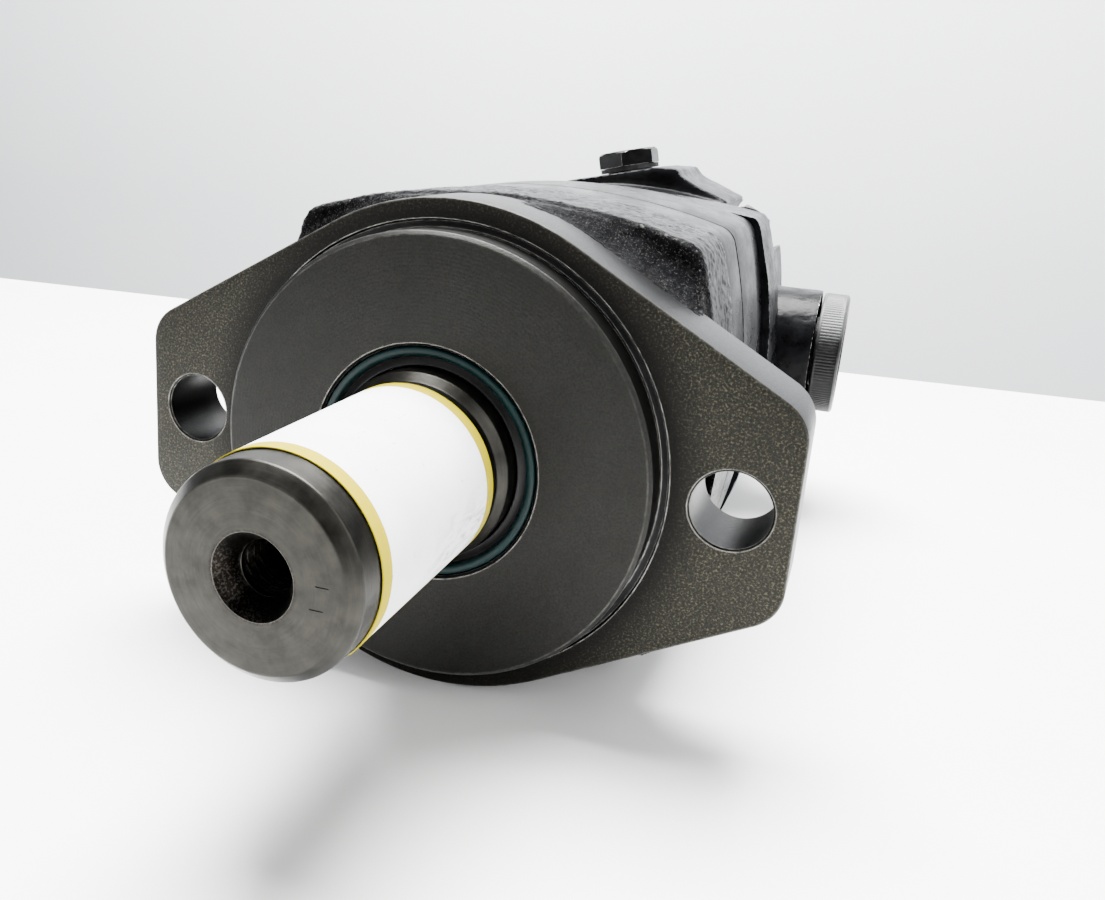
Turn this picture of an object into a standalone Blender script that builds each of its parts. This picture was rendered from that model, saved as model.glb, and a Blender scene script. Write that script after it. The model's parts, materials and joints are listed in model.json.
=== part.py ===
"""Orbiting-rotor hydraulic motor, two-bolt flange, straight keyed shaft.

Lengths are written in millimetres in the motor's own coordinates and turned into
metres in the world when a mesh is made.  In motor coordinates the shaft axis is the
line x = 0, z = 0, y = 0 is the flange's mounting face, and the output shaft points
towards -Y.
"""
import math

import bmesh
import bpy
from mathutils import Matrix, Vector

MM = 0.001

# ---- where the motor stands in the world ------------------------------------
FRAME_Y = 58.0           # motor y of the bounding box's centre
AXIS_HEIGHT = 46.5       # height of the shaft axis above what the motor lies on

# ---- flange and bearing housing ---------------------------------------------
PILOT_R = 41.275
PILOT_LENGTH = 6.35
FLANGE_THICK = 16.0
FLANGE_ARC_R = 46.5
FLANGE_SIDE_ANGLE = math.radians(29.7)
FLANGE_HALF_WIDTH = 63.6
FLANGE_CORNER_R = 8.0
BOLT_OFFSET = 53.2
BOLT_HOLE_R = 6.75
CASTING_FRONT = 19.0
HOUSING_REAR = 42.0
BODY_HALF = 46.4
BODY_BULGE_R = 130.0
BODY_CORNER_R = 5.0
NECK_R = 44.5
GROOVE_WIDTH = 1.6
GROOVE_DEPTH = 0.8
HEAD_POCKET_R = 11.5     # room for a mounting bolt's head behind the flange
HEAD_POCKET_REAR = 31.0
LIP_BORE_R = 21.4
LIP_BORE_REAR = -3.0
SEAL_BORE_R = 24.0
SEAL_BORE_REAR = 7.5
BEARING_BORE_R = 31.0
TAP_FRONT = 27.0
GAP = 0.3

# ---- stations along the shaft axis ------------------------------------------
PLATE_REAR = 60.0
RING_REAR = 84.0
VALVE_PLATE_REAR = 100.0
LUG_REAR = 122.0
MOTOR_REAR = 176.0
CAVITY_REAR = 136.0
CAVITY_R = 37.0
LUG_HALF = 47.6
LUG_BULGE_R = 115.0
LUG_ROOF = 43.6          # height of the lug section's low, slightly bowed top
LUG_ROOF_R = 225.0
REAR_HALF = 43.5
REAR_BULGE_R = 120.0
REAR_CORNER_R = 9.0

# ---- output shaft -----------------------------------------------------------
SHAFT_R = 15.875
SHAFT_FRONT = -60.0
SHAFT_FACE_R = 14.1
JOURNAL_R = 17.4
JOURNAL_FRONT = -8.6
SEAT_R = 19.0
COLLAR_R = 21.0
COLLAR_FRONT = 24.4
COLLAR_REAR = 25.6
SHAFT_REAR = 41.0
END_HOLE_R = 4.3
END_HOLE_MOUTH_R = 6.35
END_HOLE_DEPTH = 26.0
SOCKET_FRONT = 22.0
KEY_BED = 11.9           # distance of the keyway's floor from the shaft axis
KEY_WIDTH = 7.9
KEY_HEIGHT = 7.9
KEY_FRONT = -52.5
KEY_REAR = -20.8
KEY_TURN = math.radians(45.0)       # from straight down towards -X
LABEL_FRONT = -53.6
LABEL_REAR = -12.9
LABEL_INNER_R = 16.02
LABEL_OUTER_R = 16.24
LABEL_START = math.radians(-110.0)  # from straight up towards +X
LABEL_END = math.radians(135.0)

# ---- rotor set --------------------------------------------------------------
ROLL_COUNT = 7
ROLL_CIRCLE_R = 31.0
ROLL_R = 6.0
ORBIT_R = 2.4
STAR_GAP = 0.25
RING_BORE_R = 30.1
SPLINE_TEETH = 10
SPLINE_R = 10.6
SPLINE_DEPTH = 0.7
SPLINE_GAP = 0.5
LINK_FRONT = 33.0
LINK_REAR = 66.5
DRIVE_FRONT = 78.0
DRIVE_REAR = 108.0

# ---- screws, ports and drain ------------------------------------------------
SCREW_OFFSET = 34.3
SCREW_R = 4.0
SCREW_FRONT = 29.0
HEX_CORNER_R = 7.3
HEAD_SCALLOP_R = 9.0
PORT_Y = 148.0
PORT_BOSS_R = 17.6
PORT_FACE = 56.0
PORT_BORE_R = 10.4
PORT_MOUTH_R = 11.8
PLUG_OUTER = 63.7
PLUG_STEM_R = 9.9
PLUG_FLANGE_R = 17.2
DRAIN_X = -3.7
DRAIN_Z = 47.2
DRAIN_Y = 148.0
DRAIN_TILT = math.radians(12.5)
DRAIN_SEAT_R = 6.9
DRAIN_STEM_R = 6.5
DRAIN_COLLAR_R = 8.4
DRAIN_HEX_R = 9.2

COLOURS = {
    "painted_casting": ((0.025, 0.026, 0.028), 0.0, 0.30),
    "shaft_steel": ((0.32, 0.31, 0.30), 1.0, 0.35),
    "bearing_steel": ((0.55, 0.55, 0.56), 1.0, 0.20),
    "rotor_steel": ((0.42, 0.42, 0.43), 1.0, 0.28),
    "seal_green": ((0.01, 0.12, 0.11), 0.0, 0.45),
    "seal_black": ((0.02, 0.02, 0.02), 0.0, 0.60),
    "label_paper": ((0.80, 0.80, 0.78), 0.0, 0.60),
    "cap_plastic": ((0.42, 0.43, 0.43), 0.0, 0.45),
    "plug_black": ((0.03, 0.03, 0.032), 0.6, 0.40),
    "key_steel": ((0.38, 0.37, 0.35), 1.0, 0.40),
}


# ---- scene set-up -----------------------------------------------------------
for old in list(bpy.data.objects):
    bpy.data.objects.remove(old, do_unlink=True)

PARTS = bpy.data.collections.new("hydraulic_motor")
CUTTERS = bpy.data.collections.new("hydraulic_motor_cutters")
bpy.context.scene.collection.children.link(PARTS)
bpy.context.scene.collection.children.link(CUTTERS)


def make_material(slot):
    material = bpy.data.materials.new(slot)
    material.use_nodes = True
    shader = material.node_tree.nodes["Principled BSDF"]
    colour, metallic, roughness = COLOURS[slot]
    shader.inputs["Base Color"].default_value = (*colour, 1.0)
    shader.inputs["Metallic"].default_value = metallic
    shader.inputs["Roughness"].default_value = roughness
    return material


MATERIALS = {slot: make_material(slot) for slot in COLOURS}


# ---- building blocks --------------------------------------------------------
def world_point(x, y, z):
    """A point given in motor coordinates, in the world and in metres."""
    return Vector((x, y - FRAME_Y, z + AXIS_HEIGHT)) * MM


def finish(name, mesh_build, slot, centre, smooth=True, matrix=None):
    """Turn a bmesh in millimetres about its own centre into a named object."""
    bmesh.ops.remove_doubles(mesh_build, verts=mesh_build.verts, dist=0.0005)
    bmesh.ops.recalc_face_normals(mesh_build, faces=mesh_build.faces)
    mesh = bpy.data.meshes.new(name)
    bmesh.ops.scale(mesh_build, vec=(MM, MM, MM), verts=mesh_build.verts)
    mesh_build.to_mesh(mesh)
    mesh_build.free()
    if smooth:
        mesh.shade_smooth()
        mesh.set_sharp_from_angle(angle=math.radians(35.0))
    item = bpy.data.objects.new(name, mesh)
    item.location = world_point(*centre)
    if matrix is not None:
        item.rotation_euler = matrix.to_euler()
    if slot is None:
        CUTTERS.objects.link(item)
        item.hide_render = True
        item.display_type = "WIRE"
    else:
        PARTS.objects.link(item)
        mesh.materials.append(MATERIALS[slot])
    return item


def turned(name, profile, slot=None, centre=(0.0, 0.0, 0.0), steps=40, matrix=None):
    """A turned piece: a (y, r) outline, spun round the Y axis by a Screw modifier."""
    build = bmesh.new()
    area = sum(y0 * r1 - y1 * r0 for (y0, r0), (y1, r1) in zip(profile, profile[1:] + profile[:1]))
    ordered = profile if area > 0.0 else profile[::-1]
    verts = [build.verts.new((r, y, 0.0)) for y, r in ordered]
    for (_, r0), (_, r1), vert, after in zip(ordered, ordered[1:] + ordered[:1], verts,
                                             verts[1:] + verts[:1]):
        if r0 > 0.0 or r1 > 0.0:
            build.edges.new((vert, after))
    item = finish(name, build, slot, centre, matrix=matrix)
    screw = item.modifiers.new("turn", "SCREW")
    screw.axis = "Y"
    screw.steps = steps
    screw.render_steps = steps
    screw.use_merge_vertices = True
    screw.merge_threshold = 0.000001
    return item


def prism(name, outline, y_front, y_rear, slot=None, centre=(0.0, 0.0, 0.0), matrix=None):
    """Extrude an (x, z) outline along Y."""
    build = bmesh.new()
    verts = [build.verts.new((x, y_front, z)) for x, z in outline]
    face = build.faces.new(verts)
    made = bmesh.ops.extrude_face_region(build, geom=[face])
    moved = [item for item in made["geom"] if isinstance(item, bmesh.types.BMVert)]
    bmesh.ops.translate(build, vec=(0.0, y_rear - y_front, 0.0), verts=moved)
    return finish(name, build, slot, centre, matrix=matrix)


def rod(name, radius, y_front, y_rear, at=(0.0, 0.0), slot=None, steps=24):
    """A plain cylinder along Y at the given (x, z)."""
    build = bmesh.new()
    upright = Matrix.Translation((0.0, 0.5 * (y_front + y_rear), 0.0))
    upright = upright @ Matrix.Rotation(math.pi / 2.0, 4, "X")
    bmesh.ops.create_cone(build, cap_ends=True, segments=steps, radius1=radius, radius2=radius,
                          depth=y_rear - y_front, matrix=upright)
    return finish(name, build, slot, (at[0], 0.0, at[1]))


def combine(target, operation, others, solver):
    for other in others:
        step = target.modifiers.new(operation.lower(), "BOOLEAN")
        step.operation = operation
        step.solver = solver
        step.object = other
    return target


def cut(target, *others, solver="EXACT"):
    return combine(target, "DIFFERENCE", others, solver)


def join(target, *others, solver="EXACT"):
    return combine(target, "UNION", others, solver)


def circle(radius, steps, centre=(0.0, 0.0)):
    points = []
    for index in range(steps):
        angle = math.tau * index / steps
        points.append((centre[0] + radius * math.sin(angle), centre[1] + radius * math.cos(angle)))
    return points


def bulged_square(half, bulge, corner, side_steps=8, corner_steps=3):
    """A square with bowed sides and rounded corners, as an (x, z) outline.

    The corner circle's centre (c, c) lies at bulge - corner from the centre of the
    bowed side's arc, (0, half - bulge), so that the two arcs meet smoothly.
    """
    sink = bulge - half
    c = 0.5 * (math.sqrt(2.0 * (bulge - corner) ** 2 - sink ** 2) - sink)
    start = math.atan2(c, c + sink)
    quarter = []
    for index in range(side_steps):
        angle = -start + 2.0 * start * index / side_steps
        quarter.append((bulge * math.sin(angle), half - bulge + bulge * math.cos(angle)))
    for index in range(corner_steps):
        angle = start + (math.pi / 2.0 - 2.0 * start) * index / corner_steps
        quarter.append((c + corner * math.sin(angle), c + corner * math.cos(angle)))
    points = []
    for turn in range(4):
        ca, sa = math.cos(turn * math.pi / 2.0), math.sin(turn * math.pi / 2.0)
        points += [(x * ca + z * sa, -x * sa + z * ca) for x, z in quarter]
    return points


def flange_outline():
    """Two flat ends, straight sloping sides and a round middle."""
    a = FLANGE_SIDE_ANGLE
    r = FLANGE_CORNER_R
    cx = FLANGE_HALF_WIDTH - r
    cz = (FLANGE_ARC_R - r - cx * math.sin(a)) / math.cos(a)
    quarter = []
    for index in range(9):
        angle = a * index / 8
        quarter.append((FLANGE_ARC_R * math.sin(angle), FLANGE_ARC_R * math.cos(angle)))
    for index in range(7):
        angle = a + (math.pi / 2.0 - a) * index / 6
        quarter.append((cx + r * math.sin(angle), cz + r * math.cos(angle)))
    right = quarter + [(x, -z) for x, z in reversed(quarter)]
    left = [(-x, z) for x, z in reversed(right)]
    return right[:-1] + left[:-1]


def star_outline(lobes, per_lobe=14):
    """The path of the roll centres seen from the star, moved in by a roll's radius."""
    points = []
    total = lobes * per_lobe
    inset = ROLL_R + STAR_GAP
    for index in range(total):
        t = math.tau * index / total
        n = lobes + 1
        px = ROLL_CIRCLE_R * math.cos(t) + ORBIT_R * math.cos(n * t)
        py = ROLL_CIRCLE_R * math.sin(t) + ORBIT_R * math.sin(n * t)
        dx = -ROLL_CIRCLE_R * math.sin(t) - n * ORBIT_R * math.sin(n * t)
        dy = ROLL_CIRCLE_R * math.cos(t) + n * ORBIT_R * math.cos(n * t)
        size = math.hypot(dx, dy)
        points.append((py + inset * dx / size, px - inset * dy / size))
    return points


def spline_outline(radius, depth, per_tooth=4):
    points = []
    total = SPLINE_TEETH * per_tooth
    for index in range(total):
        angle = math.tau * index / total
        r = radius + depth * math.cos(SPLINE_TEETH * angle)
        points.append((r * math.sin(angle), r * math.cos(angle)))
    return points


def coupling_link(name, slot, front, rear, reach_front, reach_rear, shank_r):
    """A shank with a crowned splined head at each end, between two (x, y, z) centres."""
    axis = Vector(rear) - Vector(front)
    length = axis.length
    head_r = SPLINE_R - SPLINE_GAP
    depth = SPLINE_DEPTH
    crown = 24.0
    stations = []
    for along in (-reach_front, 0.0, reach_front):
        stations.append((along, head_r - along * along / (2.0 * crown), depth))
    stations.append((reach_front + 2.5, shank_r, 0.0))
    stations.append((length - reach_rear - 2.5, shank_r, 0.0))
    for along in (-reach_rear, 0.0, reach_rear):
        stations.append((length + along, head_r - along * along / (2.0 * crown), depth))
    build = bmesh.new()
    rings = []
    for along, radius, tooth in stations:
        rings.append([build.verts.new((x, along, z)) for x, z in spline_outline(radius, tooth)])
    for ring, after in zip(rings, rings[1:]):
        for index in range(len(ring)):
            step = (index + 1) % len(ring)
            build.faces.new((ring[index], ring[step], after[step], after[index]))
    build.faces.new(rings[0])
    build.faces.new(rings[-1])
    tilt = Vector((0.0, 1.0, 0.0)).rotation_difference(axis).to_matrix().to_4x4()
    return finish(name, build, slot, front, matrix=tilt)


# ---- bearing housing --------------------------------------------------------
def bearing_housing():
    body = prism("bearing_housing", flange_outline(), 0.0, FLANGE_THICK, "painted_casting")
    casting = prism("cut_casting", bulged_square(BODY_HALF, BODY_BULGE_R, BODY_CORNER_R),
                    CASTING_FRONT, HOUSING_REAR)
    neck = prism("cut_neck", circle(NECK_R, 48), FLANGE_THICK - 1.0, CASTING_FRONT + 1.0)
    pilot = turned("cut_pilot", [(-PILOT_LENGTH, 0.0), (-PILOT_LENGTH, PILOT_R - 0.7),
                                 (-PILOT_LENGTH + 0.7, PILOT_R), (1.0, PILOT_R), (1.0, 0.0)],
                   steps=56)
    join(body, casting, neck, pilot)
    groove_outer = PILOT_R + GROOVE_WIDTH
    groove = turned("cut_groove", [(-1.0, PILOT_R + 0.01), (-1.0, groove_outer),
                                   (GROOVE_DEPTH, groove_outer),
                                   (GROOVE_DEPTH, PILOT_R + 0.01)], steps=56)
    bores = turned("cut_bores", [
        (-PILOT_LENGTH - 2.0, 0.0), (-PILOT_LENGTH - 2.0, LIP_BORE_R),
        (LIP_BORE_REAR, LIP_BORE_R), (LIP_BORE_REAR, SEAL_BORE_R),
        (SEAL_BORE_REAR, SEAL_BORE_R), (SEAL_BORE_REAR, BEARING_BORE_R),
        (HOUSING_REAR + 2.0, BEARING_BORE_R), (HOUSING_REAR + 2.0, 0.0)])
    cut(body, groove, bores)
    for side in (-1, 1):
        cut(body, rod(f"cut_bolt{side}", BOLT_HOLE_R, -2.0, FLANGE_THICK + 2.0,
                      (side * BOLT_OFFSET, 0.0)))
        cut(body, rod(f"cut_pocket{side}", HEAD_POCKET_R, FLANGE_THICK, HEAD_POCKET_REAR,
                      (side * BOLT_OFFSET, 0.0)))
    for index, at in enumerate(screw_places()):
        cut(body, rod(f"cut_tap{index}", SCREW_R + GAP, TAP_FRONT, HOUSING_REAR + 1.0, at,
                      steps=12))
    cut(body, seal_groove("cut_seal1", HOUSING_REAR, -1))
    return body


def screw_places():
    return [(SCREW_OFFSET, SCREW_OFFSET), (SCREW_OFFSET, -SCREW_OFFSET),
            (-SCREW_OFFSET, -SCREW_OFFSET), (-SCREW_OFFSET, SCREW_OFFSET)]


def seal_groove(name, face, side):
    """A groove for a body seal; side -1 cuts towards the front, 1 towards the rear."""
    inner, outer = face + side * 1.7, face - side * 0.6
    return turned(name, [(inner, 39.5), (outer, 39.5), (outer, 41.5), (inner, 41.5)], steps=32)


def body_seal(name, face, side):
    """A square-cut ring lying in its groove."""
    low = face + side * 1.5
    high = face - side * 0.1
    return turned(name, [(low, 39.8), (high, 39.8), (high, 41.2), (low, 41.2)], "seal_black",
                  (0.0, 0.0, 0.0), 32)


def through_screws(target, name, front, rear):
    for index, at in enumerate(screw_places()):
        cut(target, rod(f"cut_{name}_screw{index}", SCREW_R + 0.5, front - 1.0, rear + 1.0, at,
                        steps=12))


# ---- shaft and what is on it ------------------------------------------------
def output_shaft():
    shaft = turned("output_shaft", [
        (SHAFT_FRONT, 0.0), (SHAFT_FRONT, SHAFT_FACE_R), (SHAFT_FRONT + 1.8, SHAFT_R),
        (JOURNAL_FRONT - 0.8, SHAFT_R), (JOURNAL_FRONT, JOURNAL_R),
        (SEAL_BORE_REAR, JOURNAL_R), (SEAL_BORE_REAR, SEAT_R), (COLLAR_FRONT, SEAT_R),
        (COLLAR_FRONT, COLLAR_R), (COLLAR_REAR, COLLAR_R), (COLLAR_REAR, SEAT_R),
        (SHAFT_REAR, SEAT_R), (SHAFT_REAR, 0.0)], "shaft_steel", steps=48)
    centre_hole = turned("cut_centre_hole", [
        (SHAFT_FRONT - 2.0, 0.0), (SHAFT_FRONT - 2.0, END_HOLE_MOUTH_R),
        (SHAFT_FRONT, END_HOLE_MOUTH_R), (SHAFT_FRONT + 3.0, END_HOLE_R),
        (SHAFT_FRONT + END_HOLE_DEPTH, END_HOLE_R),
        (SHAFT_FRONT + END_HOLE_DEPTH + 2.5, 0.0)], steps=32)
    socket = prism("cut_socket", spline_outline(SPLINE_R, SPLINE_DEPTH), SOCKET_FRONT,
                   SHAFT_REAR + 2.0)
    keyway = prism("cut_keyway", key_outline(KEY_WIDTH / 2.0 + 0.1, KEY_BED, 2.0 * SHAFT_R),
                   KEY_FRONT - 0.1, KEY_REAR + 0.1)
    return cut(shaft, centre_hole, socket, keyway)


def key_outline(half, inner, outer):
    """A rectangle between two distances below the axis, turned to where the key is."""
    ca, sa = math.cos(KEY_TURN), math.sin(KEY_TURN)
    corners = [(-half, -inner), (half, -inner), (half, -outer), (-half, -outer)]
    return [(x * ca + z * sa, -x * sa + z * ca) for x, z in corners]


def shaft_key():
    bed = KEY_BED + 0.1
    return prism("shaft_key", key_outline(KEY_WIDTH / 2.0, bed, bed + KEY_HEIGHT), KEY_FRONT,
                 KEY_REAR, "key_steel")


def shaft_label():
    """A thin wrap round the shaft, open where the key is."""
    steps = 36
    sweep = LABEL_END - LABEL_START
    angles = [LABEL_START + sweep * index / steps for index in range(steps + 1)]
    outline = [(LABEL_OUTER_R * math.sin(angle), LABEL_OUTER_R * math.cos(angle))
               for angle in angles]
    outline += [(LABEL_INNER_R * math.sin(angle), LABEL_INNER_R * math.cos(angle))
                for angle in reversed(angles)]
    return prism("shaft_label", outline, LABEL_FRONT, LABEL_REAR, "label_paper")


def roller_set(name, front, rear, inner_front, inner_rear, outer_front, outer_rear, rollers):
    """Tapered rollers in their cage, one closed ring with a swelling at every roller."""
    per_roller = 4
    total = rollers * per_roller
    build = bmesh.new()
    rings = []
    for y, inner, outer in ((front, inner_front, outer_front), (rear, inner_rear, outer_rear)):
        for reach in (inner, outer):
            ring = []
            middle = 0.5 * (inner + outer)
            for index in range(total):
                angle = math.tau * index / total
                swell = 0.5 + 0.5 * math.cos(rollers * angle)
                r = middle + (reach - middle) * (0.45 + 0.55 * swell)
                ring.append(build.verts.new((r * math.sin(angle), y, r * math.cos(angle))))
            rings.append(ring)
    order = (rings[0], rings[1], rings[3], rings[2])
    for place, ring in enumerate(order):
        after = order[(place + 1) % 4]
        for index in range(total):
            step = (index + 1) % total
            build.faces.new((ring[index], ring[step], after[step], after[index]))
    return finish(name, build, "bearing_steel", (0.0, 0.0, 0.0))


def bearing(prefix, front, rear, flip):
    """A tapered roller bearing: cup in the housing, cone on the shaft, rollers between."""
    cup = [(26.2, 28.0), (28.0, 26.2)][flip]
    cone = [(21.8, 23.4), (23.4, 21.8)][flip]
    turned(f"{prefix}_bearing_cup", [(front, 30.7), (rear, 30.7), (rear, cup[1]),
                                     (front, cup[0])], "bearing_steel", steps=40)
    turned(f"{prefix}_bearing_cone", [(front, SEAT_R + 0.3), (rear, SEAT_R + 0.3),
                                      (rear, cone[1]), (front, cone[0])], "bearing_steel",
           steps=40)
    roller_set(f"{prefix}_bearing_rollers", front + 1.2, rear - 1.2, cone[0] + 0.55,
               cone[1] + 0.25, cup[0] - 0.3, cup[1] - 0.45, 12)


def seals():
    turned("dust_seal", [(-6.1, 19.3), (-6.1, 21.1), (-3.3, 21.1), (-3.3, 17.75), (-5.0, 17.75),
                         (-5.4, 19.3)], "seal_green", steps=40)
    turned("shaft_seal", [(-2.7, 17.75), (-2.7, 23.6), (4.6, 23.6), (4.6, 21.0), (0.0, 21.0),
                          (0.0, 19.0), (3.0, 17.75)], "seal_black", steps=40)
    turned("backup_washer", [(5.0, 17.8), (5.0, 23.6), (7.1, 23.6), (7.1, 17.8)],
           "bearing_steel", steps=40)


# ---- rotor set --------------------------------------------------------------
def roll_place(index):
    angle = math.tau * index / ROLL_COUNT
    return ROLL_CIRCLE_R * math.sin(angle), ROLL_CIRCLE_R * math.cos(angle)


def body_outline():
    return bulged_square(BODY_HALF, BODY_BULGE_R, BODY_CORNER_R)


def wear_plate():
    plate = prism("wear_plate", body_outline(), HOUSING_REAR + GAP, PLATE_REAR - GAP,
                  "painted_casting")
    cut(plate, rod("cut_plate_bore", 16.0, HOUSING_REAR - 1.0, PLATE_REAR + 1.0))
    through_screws(plate, "plate", HOUSING_REAR, PLATE_REAR)
    return cut(plate, seal_groove("cut_seal2", PLATE_REAR - GAP, -1))


def geroler_ring():
    ring = prism("geroler_ring", body_outline(), PLATE_REAR, RING_REAR - GAP, "painted_casting")
    cut(ring, rod("cut_ring_bore", RING_BORE_R, PLATE_REAR - 1.0, RING_REAR + 1.0, steps=56))
    for index in range(ROLL_COUNT):
        cut(ring, rod(f"cut_roll{index}", ROLL_R + GAP, PLATE_REAR - 1.0, RING_REAR + 1.0,
                      roll_place(index), steps=24))
    through_screws(ring, "ring", PLATE_REAR, RING_REAR)
    return ring


def rotor_set():
    star = prism("rotor_star", star_outline(ROLL_COUNT - 1), PLATE_REAR, RING_REAR - GAP,
                 "rotor_steel", (0.0, 0.0, -ORBIT_R))
    bore = prism("cut_star_bore", spline_outline(SPLINE_R, SPLINE_DEPTH), PLATE_REAR - 1.0,
                 RING_REAR + 1.0, None, (0.0, 0.0, -ORBIT_R))
    cut(star, bore)
    for index in range(ROLL_COUNT):
        rod(f"roll_{index + 1}", ROLL_R, PLATE_REAR, RING_REAR - GAP, roll_place(index),
            "bearing_steel", steps=24)
    spacer = [(71.3, 0.0), (71.3, 9.2), (73.0, 9.2), (73.0, 0.0)]
    turned("orbit_spacer", spacer, "rotor_steel", (0.0, 0.0, -ORBIT_R), steps=24)
    coupling_link("drive_link", "rotor_steel", (0.0, LINK_FRONT, 0.0),
                  (0.0, LINK_REAR, -ORBIT_R), 6.0, 4.0, 6.8)
    coupling_link("valve_drive", "rotor_steel", (0.0, DRIVE_FRONT, -ORBIT_R),
                  (0.0, DRIVE_REAR, 0.0), 4.0, 4.0, 6.8)


def valve_plate():
    plate = prism("valve_plate", body_outline(), RING_REAR, VALVE_PLATE_REAR - GAP,
                  "painted_casting")
    cut(plate, rod("cut_valve_plate_bore", 14.0, RING_REAR - 1.0, VALVE_PLATE_REAR + 1.0))
    for index in range(ROLL_COUNT):
        angle = math.tau * (index + 0.5) / ROLL_COUNT
        cut(plate, rod(f"cut_window{index}", 3.0, RING_REAR - 1.0, VALVE_PLATE_REAR + 1.0,
                       (25.0 * math.sin(angle), 25.0 * math.cos(angle)), steps=12))
    through_screws(plate, "valve_plate", RING_REAR, VALVE_PLATE_REAR)
    return cut(plate, seal_groove("cut_seal3", RING_REAR, 1))


# ---- valve end --------------------------------------------------------------
def disc_valve():
    front = VALVE_PLATE_REAR + GAP
    disc = turned("disc_valve", [(front, 0.0), (front, 31.5), (front + 9.0, 31.5),
                                 (front + 9.0, 27.0), (front + 14.5, 27.0), (front + 14.5, 0.0)],
                  "rotor_steel", steps=48)
    bore = prism("cut_valve_bore", spline_outline(SPLINE_R, SPLINE_DEPTH), front - 1.0,
                 front + 16.0)
    cut(disc, bore)
    for index in range(12):
        low, high = (22.0, 34.0) if index % 2 else (8.0, 28.0)
        slot = prism(f"cut_slot{index}", [(-2.2, low), (2.2, low), (2.2, high), (-2.2, high)],
                     front - 1.0, front + 4.5)
        slot.rotation_euler = (0.0, math.tau * index / 12, 0.0)
        cut(disc, slot, solver="MANIFOLD")
    return disc


def balance_set():
    front = VALVE_PLATE_REAR + GAP + 14.5 + GAP
    rear = 127.5
    ring = turned("balance_ring", [(front, 15.0), (front, 30.0), (front + 5.0, 30.0),
                                   (front + 5.0, 34.0), (rear, 34.0), (rear, 15.0)],
                  "rotor_steel", steps=40)
    spring_spots = [(0.0, 24.5), (0.0, -24.5)]
    pin_spots = [(17.3, 17.3), (-17.3, -17.3)]
    for index, at in enumerate(spring_spots + pin_spots):
        cut(ring, rod(f"cut_ring_hole{index}", 3.6 if index < 2 else 2.4, rear - 7.0, rear + 1.0,
                      at, steps=16))
    for index, at in enumerate(spring_spots):
        spring(f"balance_spring_{index + 1}", at, rear - 6.3, CAVITY_REAR - 0.5)
    for index, at in enumerate(pin_spots):
        rod(f"balance_pin_{index + 1}", 2.0, rear - 6.5, CAVITY_REAR + 5.5, at, "bearing_steel",
            steps=12)
    turned("inner_face_seal", [(rear + 0.4, 15.6), (rear + 0.4, 18.4), (CAVITY_REAR - 0.4, 18.4),
                               (CAVITY_REAR - 0.4, 15.6)], "seal_black", steps=32)
    turned("outer_face_seal", [(rear + 0.4, 31.0), (rear + 0.4, 33.6), (CAVITY_REAR - 0.4, 33.6),
                               (CAVITY_REAR - 0.4, 31.0)], "seal_black", steps=40)
    return pin_spots


def spring(name, at, y_front, y_rear):
    """A helical spring along Y, a round wire on a helix."""
    turns, per_turn = 4, 10
    coil_r, wire_r = 2.5, 0.55
    low, high = y_front + wire_r, y_rear - wire_r
    wire = bpy.data.curves.new(name + "_wire", "CURVE")
    wire.dimensions = "3D"
    wire.bevel_depth = wire_r * MM
    wire.bevel_resolution = 1
    wire.use_fill_caps = True
    line = wire.splines.new("POLY")
    total = turns * per_turn
    line.points.add(total)
    for index in range(total + 1):
        angle = math.tau * index / per_turn
        along = low + (high - low) * index / total
        place = (coil_r * math.sin(angle), along, coil_r * math.cos(angle))
        line.points[index].co = (*(Vector(place) * MM), 1.0)
    wire.materials.append(MATERIALS["bearing_steel"])
    item = bpy.data.objects.new(name, wire)
    item.location = world_point(at[0], 0.0, at[1])
    PARTS.objects.link(item)
    return item


def along_x(side):
    """Turns a piece made along +Y at the origin so that it points along +X or -X."""
    return Matrix.Rotation(-side * math.pi / 2.0, 4, "Z")


def drain_matrix():
    """Turns a piece made along +Y so that it points out of the drain port."""
    return Matrix.Rotation(-DRAIN_TILT, 4, "Y") @ Matrix.Rotation(math.pi / 2.0, 4, "X")


def lug_outline():
    """A bowed square whose top is lower and flatter than its sides."""
    square = bulged_square(LUG_HALF, LUG_BULGE_R, BODY_CORNER_R)
    return [(x, min(z, LUG_ROOF - x * x / (2.0 * LUG_ROOF_R))) for x, z in square]


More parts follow.
